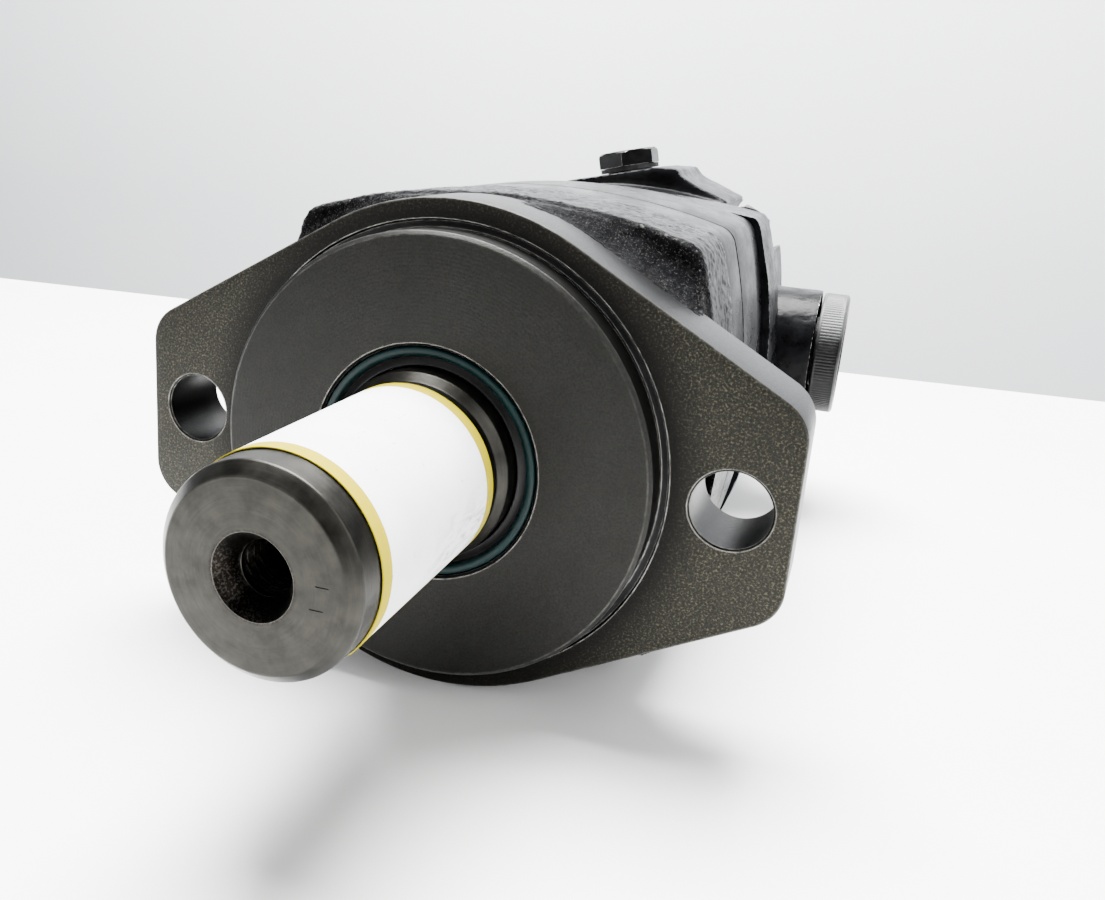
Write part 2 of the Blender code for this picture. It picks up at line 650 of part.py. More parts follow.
def valve_housing(pin_spots):
    front = VALVE_PLATE_REAR
    housing = prism("valve_housing", lug_outline(), front, LUG_REAR, "painted_casting")
    rear_block = prism("cut_rear_block", bulged_square(REAR_HALF, REAR_BULGE_R, REAR_CORNER_R),
                       LUG_REAR - 4.0, MOTOR_REAR)
    slope = math.tan(DRAIN_TILT)
    hump = [(-21.0, 30.0), (-21.0, DRAIN_Z - slope * (21.0 + DRAIN_X)),
            (6.0, DRAIN_Z + slope * (6.0 - DRAIN_X)), (12.5, 49.4), (14.0, 47.3), (17.5, 45.4),
            (24.0, 43.0), (33.0, 39.0), (33.0, 30.0)]
    hump_block = prism("cut_hump", hump, 135.0, 170.0)
    join(housing, rear_block, hump_block)
    for side in (-1, 1):
        boss = turned(f"cut_boss{side}", [(30.0, 0.0), (30.0, PORT_BOSS_R),
                                          (PORT_FACE, PORT_BOSS_R), (PORT_FACE, 0.0)],
                      None, (0.0, PORT_Y, 0.0), 32, along_x(side))
        join(housing, boss)
    cut(housing, rod("cut_cavity", CAVITY_R, front - 1.0, CAVITY_REAR, steps=40))
    foot = prism("cut_foot", [(-60.0, -60.0), (60.0, -60.0), (60.0, -AXIS_HEIGHT),
                              (-60.0, -AXIS_HEIGHT)], front - 2.0, MOTOR_REAR + 2.0)
    cut(housing, foot)
    for side in (-1, 1):
        bore = turned(f"cut_port{side}", [(24.0, 0.0), (27.0, 9.0), (27.0, PORT_BORE_R),
                                          (PORT_FACE - 1.2, PORT_BORE_R),
                                          (PORT_FACE + 0.2, PORT_MOUTH_R),
                                          (PORT_FACE + 3.0, PORT_MOUTH_R),
                                          (PORT_FACE + 3.0, 0.0)],
                      None, (0.0, PORT_Y, 0.0), 24, along_x(side))
        gallery = rod(f"cut_gallery{side}", 4.0, CAVITY_REAR - 1.0, PORT_Y, (side * 27.5, 0.0),
                      steps=10)
        cut(housing, bore, gallery)
    drain = turned("cut_drain", [(-48.0, 0.0), (-48.0, 3.5), (-14.0, 3.5),
                                 (-14.0, DRAIN_SEAT_R), (4.0, DRAIN_SEAT_R), (4.0, 0.0)], None,
                   (DRAIN_X, DRAIN_Y, DRAIN_Z), 24, drain_matrix())
    middle = rod("cut_middle", 6.0, CAVITY_REAR - 1.0, DRAIN_Y + 2.0, steps=20)
    cut(housing, drain, middle)
    for index, at in enumerate(screw_places()):
        cut(housing, rod(f"cut_head{index}", HEAD_SCALLOP_R, LUG_REAR, MOTOR_REAR + 1.0, at,
                         steps=16))
    through_screws(housing, "housing", front, LUG_REAR)
    for index, at in enumerate(pin_spots):
        cut(housing, rod(f"cut_pin{index}", 2.4, CAVITY_REAR - 1.0, CAVITY_REAR + 6.0, at,
                         steps=16))
    return cut(housing, seal_groove("cut_seal4", front, 1))


def cap_screws():
    for index, at in enumerate(screw_places()):
        screw = rod(f"cap_screw_{index + 1}", SCREW_R, SCREW_FRONT, LUG_REAR + 1.0, at,
                    "plug_black", steps=16)
        head = prism(f"cut_hex{index}", circle(HEX_CORNER_R, 6), LUG_REAR + GAP, LUG_REAR + 7.0,
                     None, (at[0], 0.0, at[1]))
        join(screw, head)


def plugs():
    for side, name in ((1, "port_plug_a"), (-1, "port_plug_b")):
        turned(name, [(44.0, 0.0), (44.0, 8.0), (46.0, PLUG_STEM_R),
                      (PORT_FACE + 0.8, PLUG_STEM_R), (PORT_FACE + 0.8, PLUG_FLANGE_R),
                      (PLUG_OUTER - 0.6, PLUG_FLANGE_R), (PLUG_OUTER, PLUG_FLANGE_R - 0.6),
                      (PLUG_OUTER, 0.0)],
               "cap_plastic", (0.0, PORT_Y, 0.0), 32, along_x(side))
    matrix = drain_matrix()
    stem = turned("drain_plug", [(-11.0, 0.0), (-11.0, 5.6), (-10.0, DRAIN_STEM_R),
                                 (1.8, DRAIN_STEM_R), (1.8, DRAIN_COLLAR_R),
                                 (2.4, DRAIN_COLLAR_R), (2.4, 0.0)],
                  "plug_black", (DRAIN_X, DRAIN_Y, DRAIN_Z), 24, matrix)
    head = prism("cut_drain_hex", circle(DRAIN_HEX_R, 6), 2.0, 6.2, None,
                 (DRAIN_X, DRAIN_Y, DRAIN_Z), matrix)
    join(stem, head)
    turned("drain_seal", [(0.3, DRAIN_SEAT_R), (0.3, 8.6), (1.5, 8.6), (1.5, DRAIN_SEAT_R)],
           "seal_black", (DRAIN_X, DRAIN_Y, DRAIN_Z), 24, matrix)


def build_motor():
    bearing_housing()
    seals()
    output_shaft()
    shaft_key()
    shaft_label()
    bearing("front", 8.0, 24.0, 0)
    bearing("rear", 26.0, 40.7, 1)
    wear_plate()
    geroler_ring()
    rotor_set()
    valve_plate()
    disc_valve()
    pin_spots = balance_set()
    valve_housing(pin_spots)
    cap_screws()
    plugs()
    body_seal("body_seal_1", HOUSING_REAR, -1)
    body_seal("body_seal_2", PLATE_REAR - GAP, -1)
    body_seal("body_seal_3", RING_REAR, 1)
    body_seal("body_seal_4", VALVE_PLATE_REAR, 1)


build_motor()
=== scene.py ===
"""Looks of an orbiting-rotor hydraulic motor with a two-bolt flange and a keyed shaft.

Shapes are written in millimetres in the motor's own coordinates: the shaft axis is
x = 0, z = 0, the flange's mounting face is y = 0, and the output shaft points to -Y.
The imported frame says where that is, and where each section starts and ends.
"""
import json
import math

import bmesh
import bpy
from mathutils import Matrix, Vector

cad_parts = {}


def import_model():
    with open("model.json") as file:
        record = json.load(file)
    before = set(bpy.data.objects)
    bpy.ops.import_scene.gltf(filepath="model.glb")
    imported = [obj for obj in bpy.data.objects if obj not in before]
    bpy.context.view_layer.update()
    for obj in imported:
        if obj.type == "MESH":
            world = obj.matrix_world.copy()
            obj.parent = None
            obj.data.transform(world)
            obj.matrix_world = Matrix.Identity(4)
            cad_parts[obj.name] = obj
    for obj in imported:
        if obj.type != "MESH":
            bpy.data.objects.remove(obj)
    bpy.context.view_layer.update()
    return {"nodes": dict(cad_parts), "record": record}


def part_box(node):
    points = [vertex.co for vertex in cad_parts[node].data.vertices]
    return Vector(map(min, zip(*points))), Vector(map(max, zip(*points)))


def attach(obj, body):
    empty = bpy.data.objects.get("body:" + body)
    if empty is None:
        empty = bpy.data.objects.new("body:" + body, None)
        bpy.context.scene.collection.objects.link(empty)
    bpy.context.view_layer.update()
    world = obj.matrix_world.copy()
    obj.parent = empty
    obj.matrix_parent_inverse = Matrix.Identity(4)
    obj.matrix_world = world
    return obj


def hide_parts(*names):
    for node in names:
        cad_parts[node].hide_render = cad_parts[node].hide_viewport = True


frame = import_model()

MM = 0.001

# ---- driving dimensions, in mm ----------------------------------------------
PILOT_R = 41.275
PILOT_LENGTH = 6.35
FLANGE_THICK = 16.0
FLANGE_ARC_R = 46.5
FLANGE_SIDE_ANGLE = math.radians(29.7)
FLANGE_HALF_WIDTH = 63.6
FLANGE_CORNER_R = 8.0
BOLT_OFFSET = 53.2
BOLT_HOLE_R = 6.75
HEAD_POCKET_R = 11.5
BODY_HALF = 46.4
BODY_BULGE_R = 130.0
BODY_CORNER_R = 5.0
CASTING_FRONT = 19.0
SHAFT_R = 15.875
JOURNAL_R = 17.4
ROLL_COUNT = 7
ROLL_CIRCLE_R = 31.0
ROLL_R = 6.0
SCREW_OFFSET = 34.3
LUG_REAR = 122.0
PORT_Y = 148.0
PORT_FACE = 56.0
PORT_BOSS_R = 17.6
DRAIN_AT = (-3.7, 148.0, 47.2)
DRAIN_TILT = math.radians(12.5)
SEAL_BORE_R = 24.0
LIP_BORE_R = 21.4
BEARING_BORE_R = 31.0
WEAR_BORE_R = 16.0
RING_BORE_R = 30.1
PORTING_BORE_R = 14.0
WINDOW_CIRCLE_R = 25.0
SCREW_HOLE_R = 4.5
TAP_R = 4.3
TAP_FRONT = 27.0
POCKET_REAR = 31.0
WEB_RADIUS = 8.0
LUG_HALF = 47.6
LUG_BULGE_R = 115.0
LUG_ROOF = 43.6
LUG_ROOF_R = 225.0
REAR_HALF = 43.5
REAR_BULGE_R = 120.0
REAR_CORNER_R = 9.0
HEAD_SCALLOP_R = 9.0
HUMP_FRONT, HUMP_REAR = 135.0, 170.0
CAVITY_R = 37.0
CAVITY_REAR = 136.0
PORT_BORE_R = 10.4
KEY_BED = 11.9
KEY_HALF = 3.95
KEY_HEIGHT = 8.0
LABEL_INNER_R = 16.0
LABEL_OUTER_R = 16.17
THREAD_PITCH = 1.6
THREAD_CREST_R = 4.1
THREAD_ROOT_R = 4.75
SPLINE_R = 10.6
SPLINE_DEPTH = 0.7
SPLINE_TEETH = 10

# the shaft axis and the mounting face, found on the frame
SHAFT_LOW, SHAFT_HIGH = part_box("output_shaft")
ORIGIN = Vector((0.5 * (SHAFT_LOW.x + SHAFT_HIGH.x),
                 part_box("bearing_housing")[0].y + PILOT_LENGTH * MM,
                 0.5 * (SHAFT_LOW.z + SHAFT_HIGH.z)))


def world(x, y, z):
    return ORIGIN + Vector((x, y, z)) * MM


def span(node):
    """Where a CAD node starts and ends along the shaft axis, in mm."""
    low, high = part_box(node)
    return (low.y - ORIGIN.y) / MM, (high.y - ORIGIN.y) / MM


SHAFT_FRONT, SHAFT_REAR = span("output_shaft")
HOUSING_REAR = span("bearing_housing")[1]
PLATE_FRONT, PLATE_REAR = span("wear_plate")
RING_FRONT, RING_REAR = span("geroler_ring")
PORTING_FRONT, PORTING_REAR = span("valve_plate")
VALVE_FRONT, MOTOR_REAR = span("valve_housing")
FOOT_Z = (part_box("valve_housing")[0].z - ORIGIN.z) / MM


# the key sits 45 degrees from straight down towards -X
KEY_TURN = Matrix.Rotation(math.radians(45.0), 4, "Y")

# the paper wrap's two ends, turned from straight up towards +X
LABEL_START = math.radians(-110.0)
LABEL_END = math.radians(135.0)


# ---- camera, floor, wall and lights -----------------------------------------
def aim_camera():
    camera = bpy.data.cameras.new("camera")
    camera.lens = 32.9
    camera.sensor_width = 36.0
    camera.shift_x = 0.1027
    camera.shift_y = -0.0407
    camera.clip_start = 0.01
    item = bpy.data.objects.new("camera", camera)
    turn = Matrix.Rotation(math.radians(22.743), 4, "Z")
    tip = Matrix.Rotation(math.radians(90.0 - 15.857), 4, "X")
    roll = Matrix.Rotation(math.radians(3.335), 4, "Z")
    item.matrix_world = Matrix.Translation(world(68.35, -162.78, 59.56)) @ turn @ tip @ roll
    bpy.context.scene.collection.objects.link(item)
    bpy.context.scene.camera = item


# ---- mesh building ----------------------------------------------------------
def finish(name, build, sharp=35.0):
    """Turn a bmesh in millimetres into a shaded object in the world."""
    bmesh.ops.remove_doubles(build, verts=build.verts, dist=0.0005)
    bmesh.ops.recalc_face_normals(build, faces=build.faces)
    bmesh.ops.scale(build, vec=(MM, MM, MM), verts=build.verts)
    bmesh.ops.translate(build, vec=ORIGIN, verts=build.verts)
    mesh = bpy.data.meshes.new(name)
    build.to_mesh(mesh)
    build.free()
    mesh.shade_smooth()
    mesh.set_sharp_from_angle(angle=math.radians(sharp))
    item = bpy.data.objects.new(name, mesh)
    bpy.context.scene.collection.objects.link(item)
    return item


def skin(name, rings, closed=False, matrix=None, sharp=35.0):
    """A closed mesh through rings of points; the ends are capped, or meet if closed."""
    build = bmesh.new()
    made = [[build.verts.new(point) for point in ring] for ring in rings]
    pairs = list(zip(made, made[1:]))
    if closed:
        pairs.append((made[-1], made[0]))
    else:
        build.faces.new(made[0])
        build.faces.new(made[-1])
    for ring, after in pairs:
        for index in range(len(ring)):
            step = (index + 1) % len(ring)
            build.faces.new((ring[index], ring[step], after[step], after[index]))
    if matrix is not None:
        bmesh.ops.transform(build, matrix=matrix, verts=build.verts)
    return finish(name, build, sharp)


def soften(points, radius, closed=False, steps=3):
    """Round every corner of a (y, r) outline with a short curve."""
    made = []
    count = len(points)
    for index, here in enumerate(points):
        if not closed and index in (0, count - 1):
            made.append(here)
            continue
        at = Vector(here)
        back = Vector(points[index - 1]) - at
        ahead = Vector(points[(index + 1) % count]) - at
        start = at + back.normalized() * min(radius, 0.45 * back.length)
        end = at + ahead.normalized() * min(radius, 0.45 * ahead.length)
        for step in range(steps + 1):
            t = step / steps
            point = start * (1.0 - t) ** 2 + at * 2.0 * t * (1.0 - t) + end * t ** 2
            made.append((point.x, point.y))
    return made


def circle_ring(y, r, steps, reach=None):
    """A ring round the Y axis; reach(angle, y, r) gives the radius at each angle."""
    ring = []
    for index in range(steps):
        angle = math.tau * index / steps
        here = r if reach is None else reach(angle, y, r)
        ring.append((here * math.sin(angle), y, here * math.cos(angle)))
    return ring


def turned(name, profile, edge=0.25, closed=False, steps=144, reach=None, matrix=None):
    """A turned piece from a (y, r) outline with rounded corners."""
    outline = soften(profile, edge, closed)
    rings = [circle_ring(y, r, steps, reach) for y, r in outline]
    return skin(name, rings, closed, matrix)


def arc(radius, start, end, steps, centre=(0.0, 0.0)):
    angles = [start + (end - start) * index / steps for index in range(steps + 1)]
    return [(centre[0] + radius * math.sin(angle), centre[1] + radius * math.cos(angle))
            for angle in angles]


def bulged_square(half, bulge, corner):
    """A function giving a bowed square's (x, z) outline, moved in by an inset."""
    sink = bulge - half
    c = 0.5 * (math.sqrt(2.0 * (bulge - corner) ** 2 - sink ** 2) - sink)
    start = math.atan2(c, c + sink)

    def outline(inset):
        quarter = arc(bulge - inset, -start, start, 32, (0.0, half - bulge))[:-1]
        quarter += arc(corner - inset, start, math.pi / 2.0 - start, 10, (c, c))[:-1]
        points = []
        for turn in range(4):
            ca, sa = math.cos(turn * math.pi / 2.0), math.sin(turn * math.pi / 2.0)
            points += [(x * ca + z * sa, z * ca - x * sa) for x, z in quarter]
        return points
    return outline


def flange_outline(inset):
    """Two flat ends, straight sloping sides and a round middle, moved in by an inset."""
    a = FLANGE_SIDE_ANGLE
    cx = FLANGE_HALF_WIDTH - FLANGE_CORNER_R
    cz = (FLANGE_ARC_R - FLANGE_CORNER_R - cx * math.sin(a)) / math.cos(a)
    quarter = arc(FLANGE_ARC_R - inset, 0.0, a, 24)
    quarter += arc(FLANGE_CORNER_R - inset, a, math.pi / 2.0, 16, (cx, cz))
    right = quarter + [(x, -z) for x, z in reversed(quarter)]
    return right[:-1] + [(-x, z) for x, z in reversed(right)][:-1]


def plate(name, outline, front, rear, edge, matrix=None):
    """An outline from front to rear with its two edges rounded by the given radius."""
    stations = soften([(front, 8.0), (front, 0.0), (rear, 0.0), (rear, 8.0)], edge)[1:-1]
    return skin(name, [[(x, y, z) for x, z in outline(inset)] for y, inset in stations],
                matrix=matrix)


def rod(name, radius, front, rear, at=(0.0, 0.0), steps=64, matrix=None):
    ends = [[(x + at[0], y, z + at[1]) for x, y, z in circle_ring(y, radius, steps)]
            for y in (front, rear)]
    return skin(name, ends, matrix=matrix)


def bake(item):
    """Replace an object's mesh with what its modifiers make."""
    graph = bpy.context.evaluated_depsgraph_get()
    mesh = bpy.data.meshes.new_from_object(item.evaluated_get(graph))
    item.modifiers.clear()
    item.data = mesh
    return item


def carve(item, tools, operation="DIFFERENCE", solver="EXACT", sharp=35.0):
    """Cut tools from an object, or add them to it, and delete them."""
    for tool in tools:
        step = item.modifiers.new("carve", "BOOLEAN")
        step.operation = operation
        step.solver = solver
        step.object = tool
        bake(item)
        bpy.data.objects.remove(tool, do_unlink=True)
    item.data.shade_smooth()
    item.data.set_sharp_from_angle(angle=math.radians(sharp))
    return item


def sand_cast(item, voxel, rounds, grain):
    """Melt an object into one casting: even small faces, soft edges, a rough skin."""
    remesh = item.modifiers.new("melt", "REMESH")
    remesh.mode = "VOXEL"
    remesh.voxel_size = voxel * MM
    smooth = item.modifiers.new("soften", "SMOOTH")
    smooth.iterations = rounds
    smooth.factor = 0.5
    for label, size, height in grain:
        texture = bpy.data.textures.new(f"{item.name}_{label}", "CLOUDS")
        texture.noise_scale = size * MM
        texture.noise_depth = 2
        push = item.modifiers.new(label, "DISPLACE")
        push.texture = texture
        push.texture_coords = "GLOBAL"
        push.strength = height * MM
    return bake(item)


def screw_places():
    return [(SCREW_OFFSET * x, SCREW_OFFSET * z) for x, z in ((1, 1), (1, -1), (-1, -1), (-1, 1))]


def along_x(side):
    """Turns a piece made along +Y so that it points along +X or -X at the ports."""
    return Matrix.Translation((0.0, PORT_Y, 0.0)) @ Matrix.Rotation(-side * math.pi / 2.0, 4, "Z")


def out_of_drain():
    """Turns a piece made along +Y so that it points out of the drain port."""
    turn = Matrix.Rotation(-DRAIN_TILT, 4, "Y") @ Matrix.Rotation(math.pi / 2.0, 4, "X")
    return Matrix.Translation(DRAIN_AT) @ turn


def hexagon(corner, low, high):
    """A reach() for a hexagon whose edges are turned down by a cone at both ends."""
    def reach(angle, y, r):
        wrapped = (angle + math.pi / 6.0) % (math.pi / 3.0) - math.pi / 6.0
        flat = corner * math.cos(math.pi / 6.0) / math.cos(math.pi / 6.0 - abs(wrapped))
        return min(r, flat) if low <= y <= high else r
    return reach


# ---- the pieces -------------------------------------------------------------
def flange_and_pilot():
    flange = plate("flange_and_pilot", flange_outline, 0.0, FLANGE_THICK, 0.35)
    pilot = turned("pilot", [(1.0, PILOT_R), (-PILOT_LENGTH + 0.7, PILOT_R),
                             (-PILOT_LENGTH, PILOT_R - 0.7), (-PILOT_LENGTH, 0.5)], 0.15,
                   steps=256)
    neck = rod("neck", 44.0, FLANGE_THICK - 1.0, CASTING_FRONT + 1.5, steps=128)
    carve(flange, [pilot, neck], "UNION")
    groove = turned("groove", [(-1.0, PILOT_R + 0.02), (-1.0, PILOT_R + 2.0),
                               (0.0, PILOT_R + 1.6), (0.8, PILOT_R + 1.3),
                               (0.8, PILOT_R + 0.02)], 0.1, True, 256)
    lip_mouth = LIP_BORE_R + 0.5
    bores = turned("bores", [(-9.0, lip_mouth), (-PILOT_LENGTH, lip_mouth),
                             (-PILOT_LENGTH + 0.5, LIP_BORE_R), (-3.0, LIP_BORE_R),
                             (-3.0, SEAL_BORE_R), (7.5, SEAL_BORE_R), (7.5, BEARING_BORE_R),
                             (44.0, BEARING_BORE_R)], 0.05, steps=192)
    tools = [groove, bores]
    for side in (-1, 1):
        hole = turned("hole", [(-2.0, BOLT_HOLE_R + 2.4), (0.4, BOLT_HOLE_R),
                               (18.0, BOLT_HOLE_R)], 0.0, steps=96,
                      matrix=Matrix.Translation((side * BOLT_OFFSET, 0.0, 0.0)))
        tools.append(hole)
    return carve(flange, tools)


def housing_body():
    """The square part of the bearing housing, with the web that joins it to the flange."""
    square = bulged_square(BODY_HALF + 0.25, BODY_BULGE_R, BODY_CORNER_R + 0.5)
    body = plate("housing_body", square, CASTING_FRONT, HOUSING_REAR + 2.0, 1.2)
    web_front = FLANGE_THICK - 4.0
    fillet = [(web_front - 1.0, 0.4), (web_front, -0.1)]
    for index in range(1, 9):
        angle = math.pi / 2.0 * index / 8
        fillet.append((web_front + WEB_RADIUS * math.sin(angle),
                       -WEB_RADIUS * (1.0 - math.cos(angle))))
    web = skin("web", [[(x, y, z) for x, z in flange_outline(inset)] for y, inset in fillet])
    keep = plate("keep", bulged_square(BODY_HALF - 0.4, BODY_BULGE_R, BODY_CORNER_R),
                 FLANGE_THICK - 5.5, CASTING_FRONT + 6.0, 0.2)
    carve(web, [keep], "INTERSECT")
    carve(body, [web], "UNION")
    sand_cast(body, 0.55, 4, [("grain", 1.1, 0.55), ("swell", 7.0, 0.5)])
    tools = [rod("rear_face", 90.0, HOUSING_REAR, HOUSING_REAR + 20.0, steps=16),
             rod("front_bore", 43.0, 0.0, CASTING_FRONT + 1.0, steps=128),
             rod("bearing_bore", BEARING_BORE_R, 10.0, HOUSING_REAR + 5.0, steps=128)]
    for side in (-1, 1):
        tools.append(rod("pocket", HEAD_POCKET_R, web_front, POCKET_REAR,
                         (side * BOLT_OFFSET, 0.0), 64))
    for at in screw_places():
        tools.append(rod("tap", TAP_R, TAP_FRONT, HOUSING_REAR + 3.0, at, 32))
    return carve(body, tools, solver="MANIFOLD")


def body_plate(name, front, rear, edge, bore, half=BODY_HALF):
    """One of the three plates between the housings, with its bore and screw holes."""
    section = plate(name, bulged_square(half, BODY_BULGE_R, BODY_CORNER_R), front, rear, edge)
    tools = [rod("bore", bore, front - 1.0, rear + 1.0, steps=128)]
    tools += [rod("screw", SCREW_HOLE_R, front - 1.0, rear + 1.0, at, 32)
              for at in screw_places()]
    return section, tools


def around(count, radius, shift=0.0):
    """Places spaced round the shaft axis, as (x, z)."""
    return [(radius * math.sin(math.tau * (index + shift) / count),
             radius * math.cos(math.tau * (index + shift) / count)) for index in range(count)]


def body_plates():
    """Wear plate, rotor ring and porting plate; paint bridges the joint behind the ring."""
    wear, tools = body_plate("wear_plate_section", PLATE_FRONT, PLATE_REAR, 1.1, WEAR_BORE_R)
    carve(wear, tools)
    ring, tools = body_plate("rotor_ring_section", RING_FRONT, RING_REAR + 0.29, 0.25,
                             RING_BORE_R)
    tools += [rod("pocket", ROLL_R + 0.3, RING_FRONT - 1.0, RING_REAR + 2.0, at, 48)
              for at in around(ROLL_COUNT, ROLL_CIRCLE_R)]
    carve(ring, tools)
    porting, tools = body_plate("porting_plate_section", PORTING_FRONT, PORTING_REAR, 0.8,
                                PORTING_BORE_R, BODY_HALF - 0.9)
    tools += [rod("window", 3.0, PORTING_FRONT - 1.0, PORTING_REAR + 1.0, at, 32)
              for at in around(ROLL_COUNT, WINDOW_CIRCLE_R, 0.5)]
    carve(porting, tools)
    return wear, ring, porting


def valve_casting():
    """The rear housing: a lug section, a scalloped rear block, a drain hump and two bosses."""
    square = bulged_square(LUG_HALF, LUG_BULGE_R, BODY_CORNER_R)

    def lug(inset):
        """A bowed square whose top is lower and flatter than its sides."""
        return [(x, min(z, LUG_ROOF - inset - x * x / (2.0 * LUG_ROOF_R)))
                for x, z in square(inset)]

    body = plate("valve_casting", lug, VALVE_FRONT - 2.0, LUG_REAR, 1.0)
    rear = plate("rear", bulged_square(REAR_HALF, REAR_BULGE_R, REAR_CORNER_R), LUG_REAR - 4.0,
                 MOTOR_REAR, 2.0)
    x, _, z = DRAIN_AT
    slope = math.tan(DRAIN_TILT)
    hump_outline = [(-21.0, 30.0), (-21.0, z - slope * (21.0 + x)), (6.0, z + slope * (6.0 - x)),
                    (12.5, 49.4), (14.0, 47.3), (17.5, 45.4), (24.0, 43.0), (33.0, 39.0),
                    (33.0, 30.0)]
    hump = skin("hump", [[(px, y, pz) for px, pz in hump_outline]
                         for y in (HUMP_FRONT, HUMP_REAR)])
    bosses = [turned("boss", [(30.0, PORT_BOSS_R), (PORT_FACE + 1.0, PORT_BOSS_R)], 0.3,
                     steps=96, matrix=along_x(side)) for side in (-1, 1)]
    carve(body, [rear, hump] + bosses, "UNION")
    heads = [rod("head", HEAD_SCALLOP_R, LUG_REAR, MOTOR_REAR + 4.0, at, 48)
             for at in screw_places()]
    carve(body, heads, solver="MANIFOLD")
    sand_cast(body, 0.65, 7, [("grain", 1.6, 0.16), ("swell", 9.0, 0.5)])
    tools = [rod("front_face", 90.0, VALVE_FRONT - 20.0, VALVE_FRONT, steps=16),
             rod("cavity", CAVITY_R, VALVE_FRONT - 1.0, CAVITY_REAR, steps=144)]
    foot = [(-60.0, -80.0), (60.0, -80.0), (60.0, FOOT_Z + 0.05), (-60.0, FOOT_Z + 0.05)]
    tools.append(skin("foot", [[(px, y, pz) for px, pz in foot]
                               for y in (VALVE_FRONT - 2.0, MOTOR_REAR + 2.0)]))
    for side in (-1, 1):
        tools.append(rod("port_face", 30.0, PORT_FACE, PORT_FACE + 20.0, steps=32,
                         matrix=along_x(side)))
        tools.append(turned("port", [(27.0, PORT_BORE_R), (PORT_FACE - 1.2, PORT_BORE_R),
                                     (PORT_FACE + 2.0, PORT_BORE_R + 3.2)], 0.0, steps=96,
                            matrix=along_x(side)))
        tools.append(rod("gallery", 4.0, 135.0, PORT_Y, (side * 27.5, 0.0), 32))
    tools.append(turned("drain", [(-48.0, 3.5), (-14.0, 3.5), (-14.0, 6.9), (-0.5, 6.9),
                                  (-0.5, 10.2), (9.0, 10.2)], 0.05, steps=96,
                        matrix=out_of_drain()))
    tools.append(rod("middle", 6.0, 135.0, 150.0, steps=32))
    tools += [rod("screw", SCREW_HOLE_R, VALVE_FRONT - 1.0, LUG_REAR + 1.0, at, 32)
              for at in screw_places()]
    tools += [rod("spot_face", 8.4, LUG_REAR - 0.4, LUG_REAR + 9.0, at, 64)
              for at in screw_places()]
    tools += [rod("pin", 2.4, 135.0, 142.0, at, 24) for at in ((17.3, 17.3), (-17.3, -17.3))]
    return carve(body, tools, solver="MANIFOLD")


def machined_shaft():
    """The output shaft with a rounded journal foot and a real thread in its end hole."""
    front = SHAFT_FRONT
    thread_front, thread_rear = front + 3.4, front + 24.0
    hole = [(front + 28.0, 0.6), (front + 25.6, 4.2), (thread_rear, 4.2)]
    steps = 12
    turns = (thread_rear - thread_front) / THREAD_PITCH
    threaded = -1.0
    for index in range(1, int(turns * steps)):
        hole.append((thread_rear - index * THREAD_PITCH / steps, threaded))
    hole += [(thread_front, 4.3), (front + 3.0, 4.4), (front + 0.1, 6.3)]
    outside = soften([(front, 6.4), (front, 14.1), (front + 1.8, SHAFT_R), (-10.4, SHAFT_R),
                      (-8.8, JOURNAL_R), (7.5, JOURNAL_R), (7.5, 19.0), (24.4, 19.0),
                      (24.4, 21.0), (25.6, 21.0), (25.6, 19.0), (SHAFT_REAR, 19.0),
                      (SHAFT_REAR, 1.0)], 0.3)

    def reach(angle, y, r):
        """The radius in a thread that starts and ends gently, and r everywhere else."""
        if r != threaded:
            return r
        phase = (y / THREAD_PITCH - angle / math.tau) % 1.0
        depth = 1.0 - abs(2.0 * phase - 1.0)
        fade = min(1.0, (thread_rear - y) / THREAD_PITCH, (y - thread_front) / THREAD_PITCH)
        return THREAD_CREST_R + (THREAD_ROOT_R - THREAD_CREST_R) * depth * max(0.0, fade)

    rings = [circle_ring(y, r, 144, reach) for y, r in hole + outside]
    shaft = skin("machined_shaft", rings)
    key_front, key_rear = span("shaft_key")
    half = KEY_HALF + 0.1
    keyway = skin("keyway", [[(-half, y, -KEY_BED), (half, y, -KEY_BED), (half, y, -30.0),
                              (-half, y, -30.0)] for y in (key_front - 0.1, key_rear + 0.1)],
                  matrix=KEY_TURN)
    socket = skin("socket", [[(r * math.sin(a), y, r * math.cos(a)) for a, r in spline_points()]
                             for y in (22.0, SHAFT_REAR + 2.0)])
    ticks = []
    for x, z in ((10.6, 1.1), (9.8, -2.3)):
        corners = [(x - 1.0, z - 0.06), (x + 1.0, z + 0.05), (x + 1.0, z + 0.2),
                   (x - 1.0, z + 0.12)]
        ticks.append(skin("tick", [[(px, y, pz) for px, pz in corners]
                                   for y in (front - 1.0, front + 0.15)]))
    return carve(shaft, [keyway, socket] + ticks)


def spline_points():
    """The ten rounded teeth of the spline in the shaft's rear, as angles and radii."""
    count = 160
    angles = [math.tau * index / count for index in range(count)]
    return [(angle, SPLINE_R + SPLINE_DEPTH * math.cos(SPLINE_TEETH * angle)) for angle in angles]


def label_wrap():
    """The paper wrap round the shaft, a thin sheet that bows up a little at its edges."""
    front, rear = span("shaft_label")
    sweep = LABEL_END - LABEL_START
    rings = []
    for reach_out, order in ((LABEL_OUTER_R, 1), (LABEL_INNER_R, -1)):
        for index in range(97)[::order]:
            angle = LABEL_START + sweep * index / 96
            rings.append((reach_out, angle))
    stations = [front + (rear - front) * index / 40 for index in range(41)]
    made = []
    for y in stations:
        near_end = max(0.0, 1.0 - min(y - front, rear - y) / 3.0)
        ring = []
        for radius, angle in rings:
            lift = 0.05 * near_end * (0.5 + 0.5 * math.sin(7.0 * angle + 0.4 * y))
            r = radius + lift
            ring.append((r * math.sin(angle), y, r * math.cos(angle)))
        made.append(ring)
    return skin("label_wrap", made, sharp=50.0)


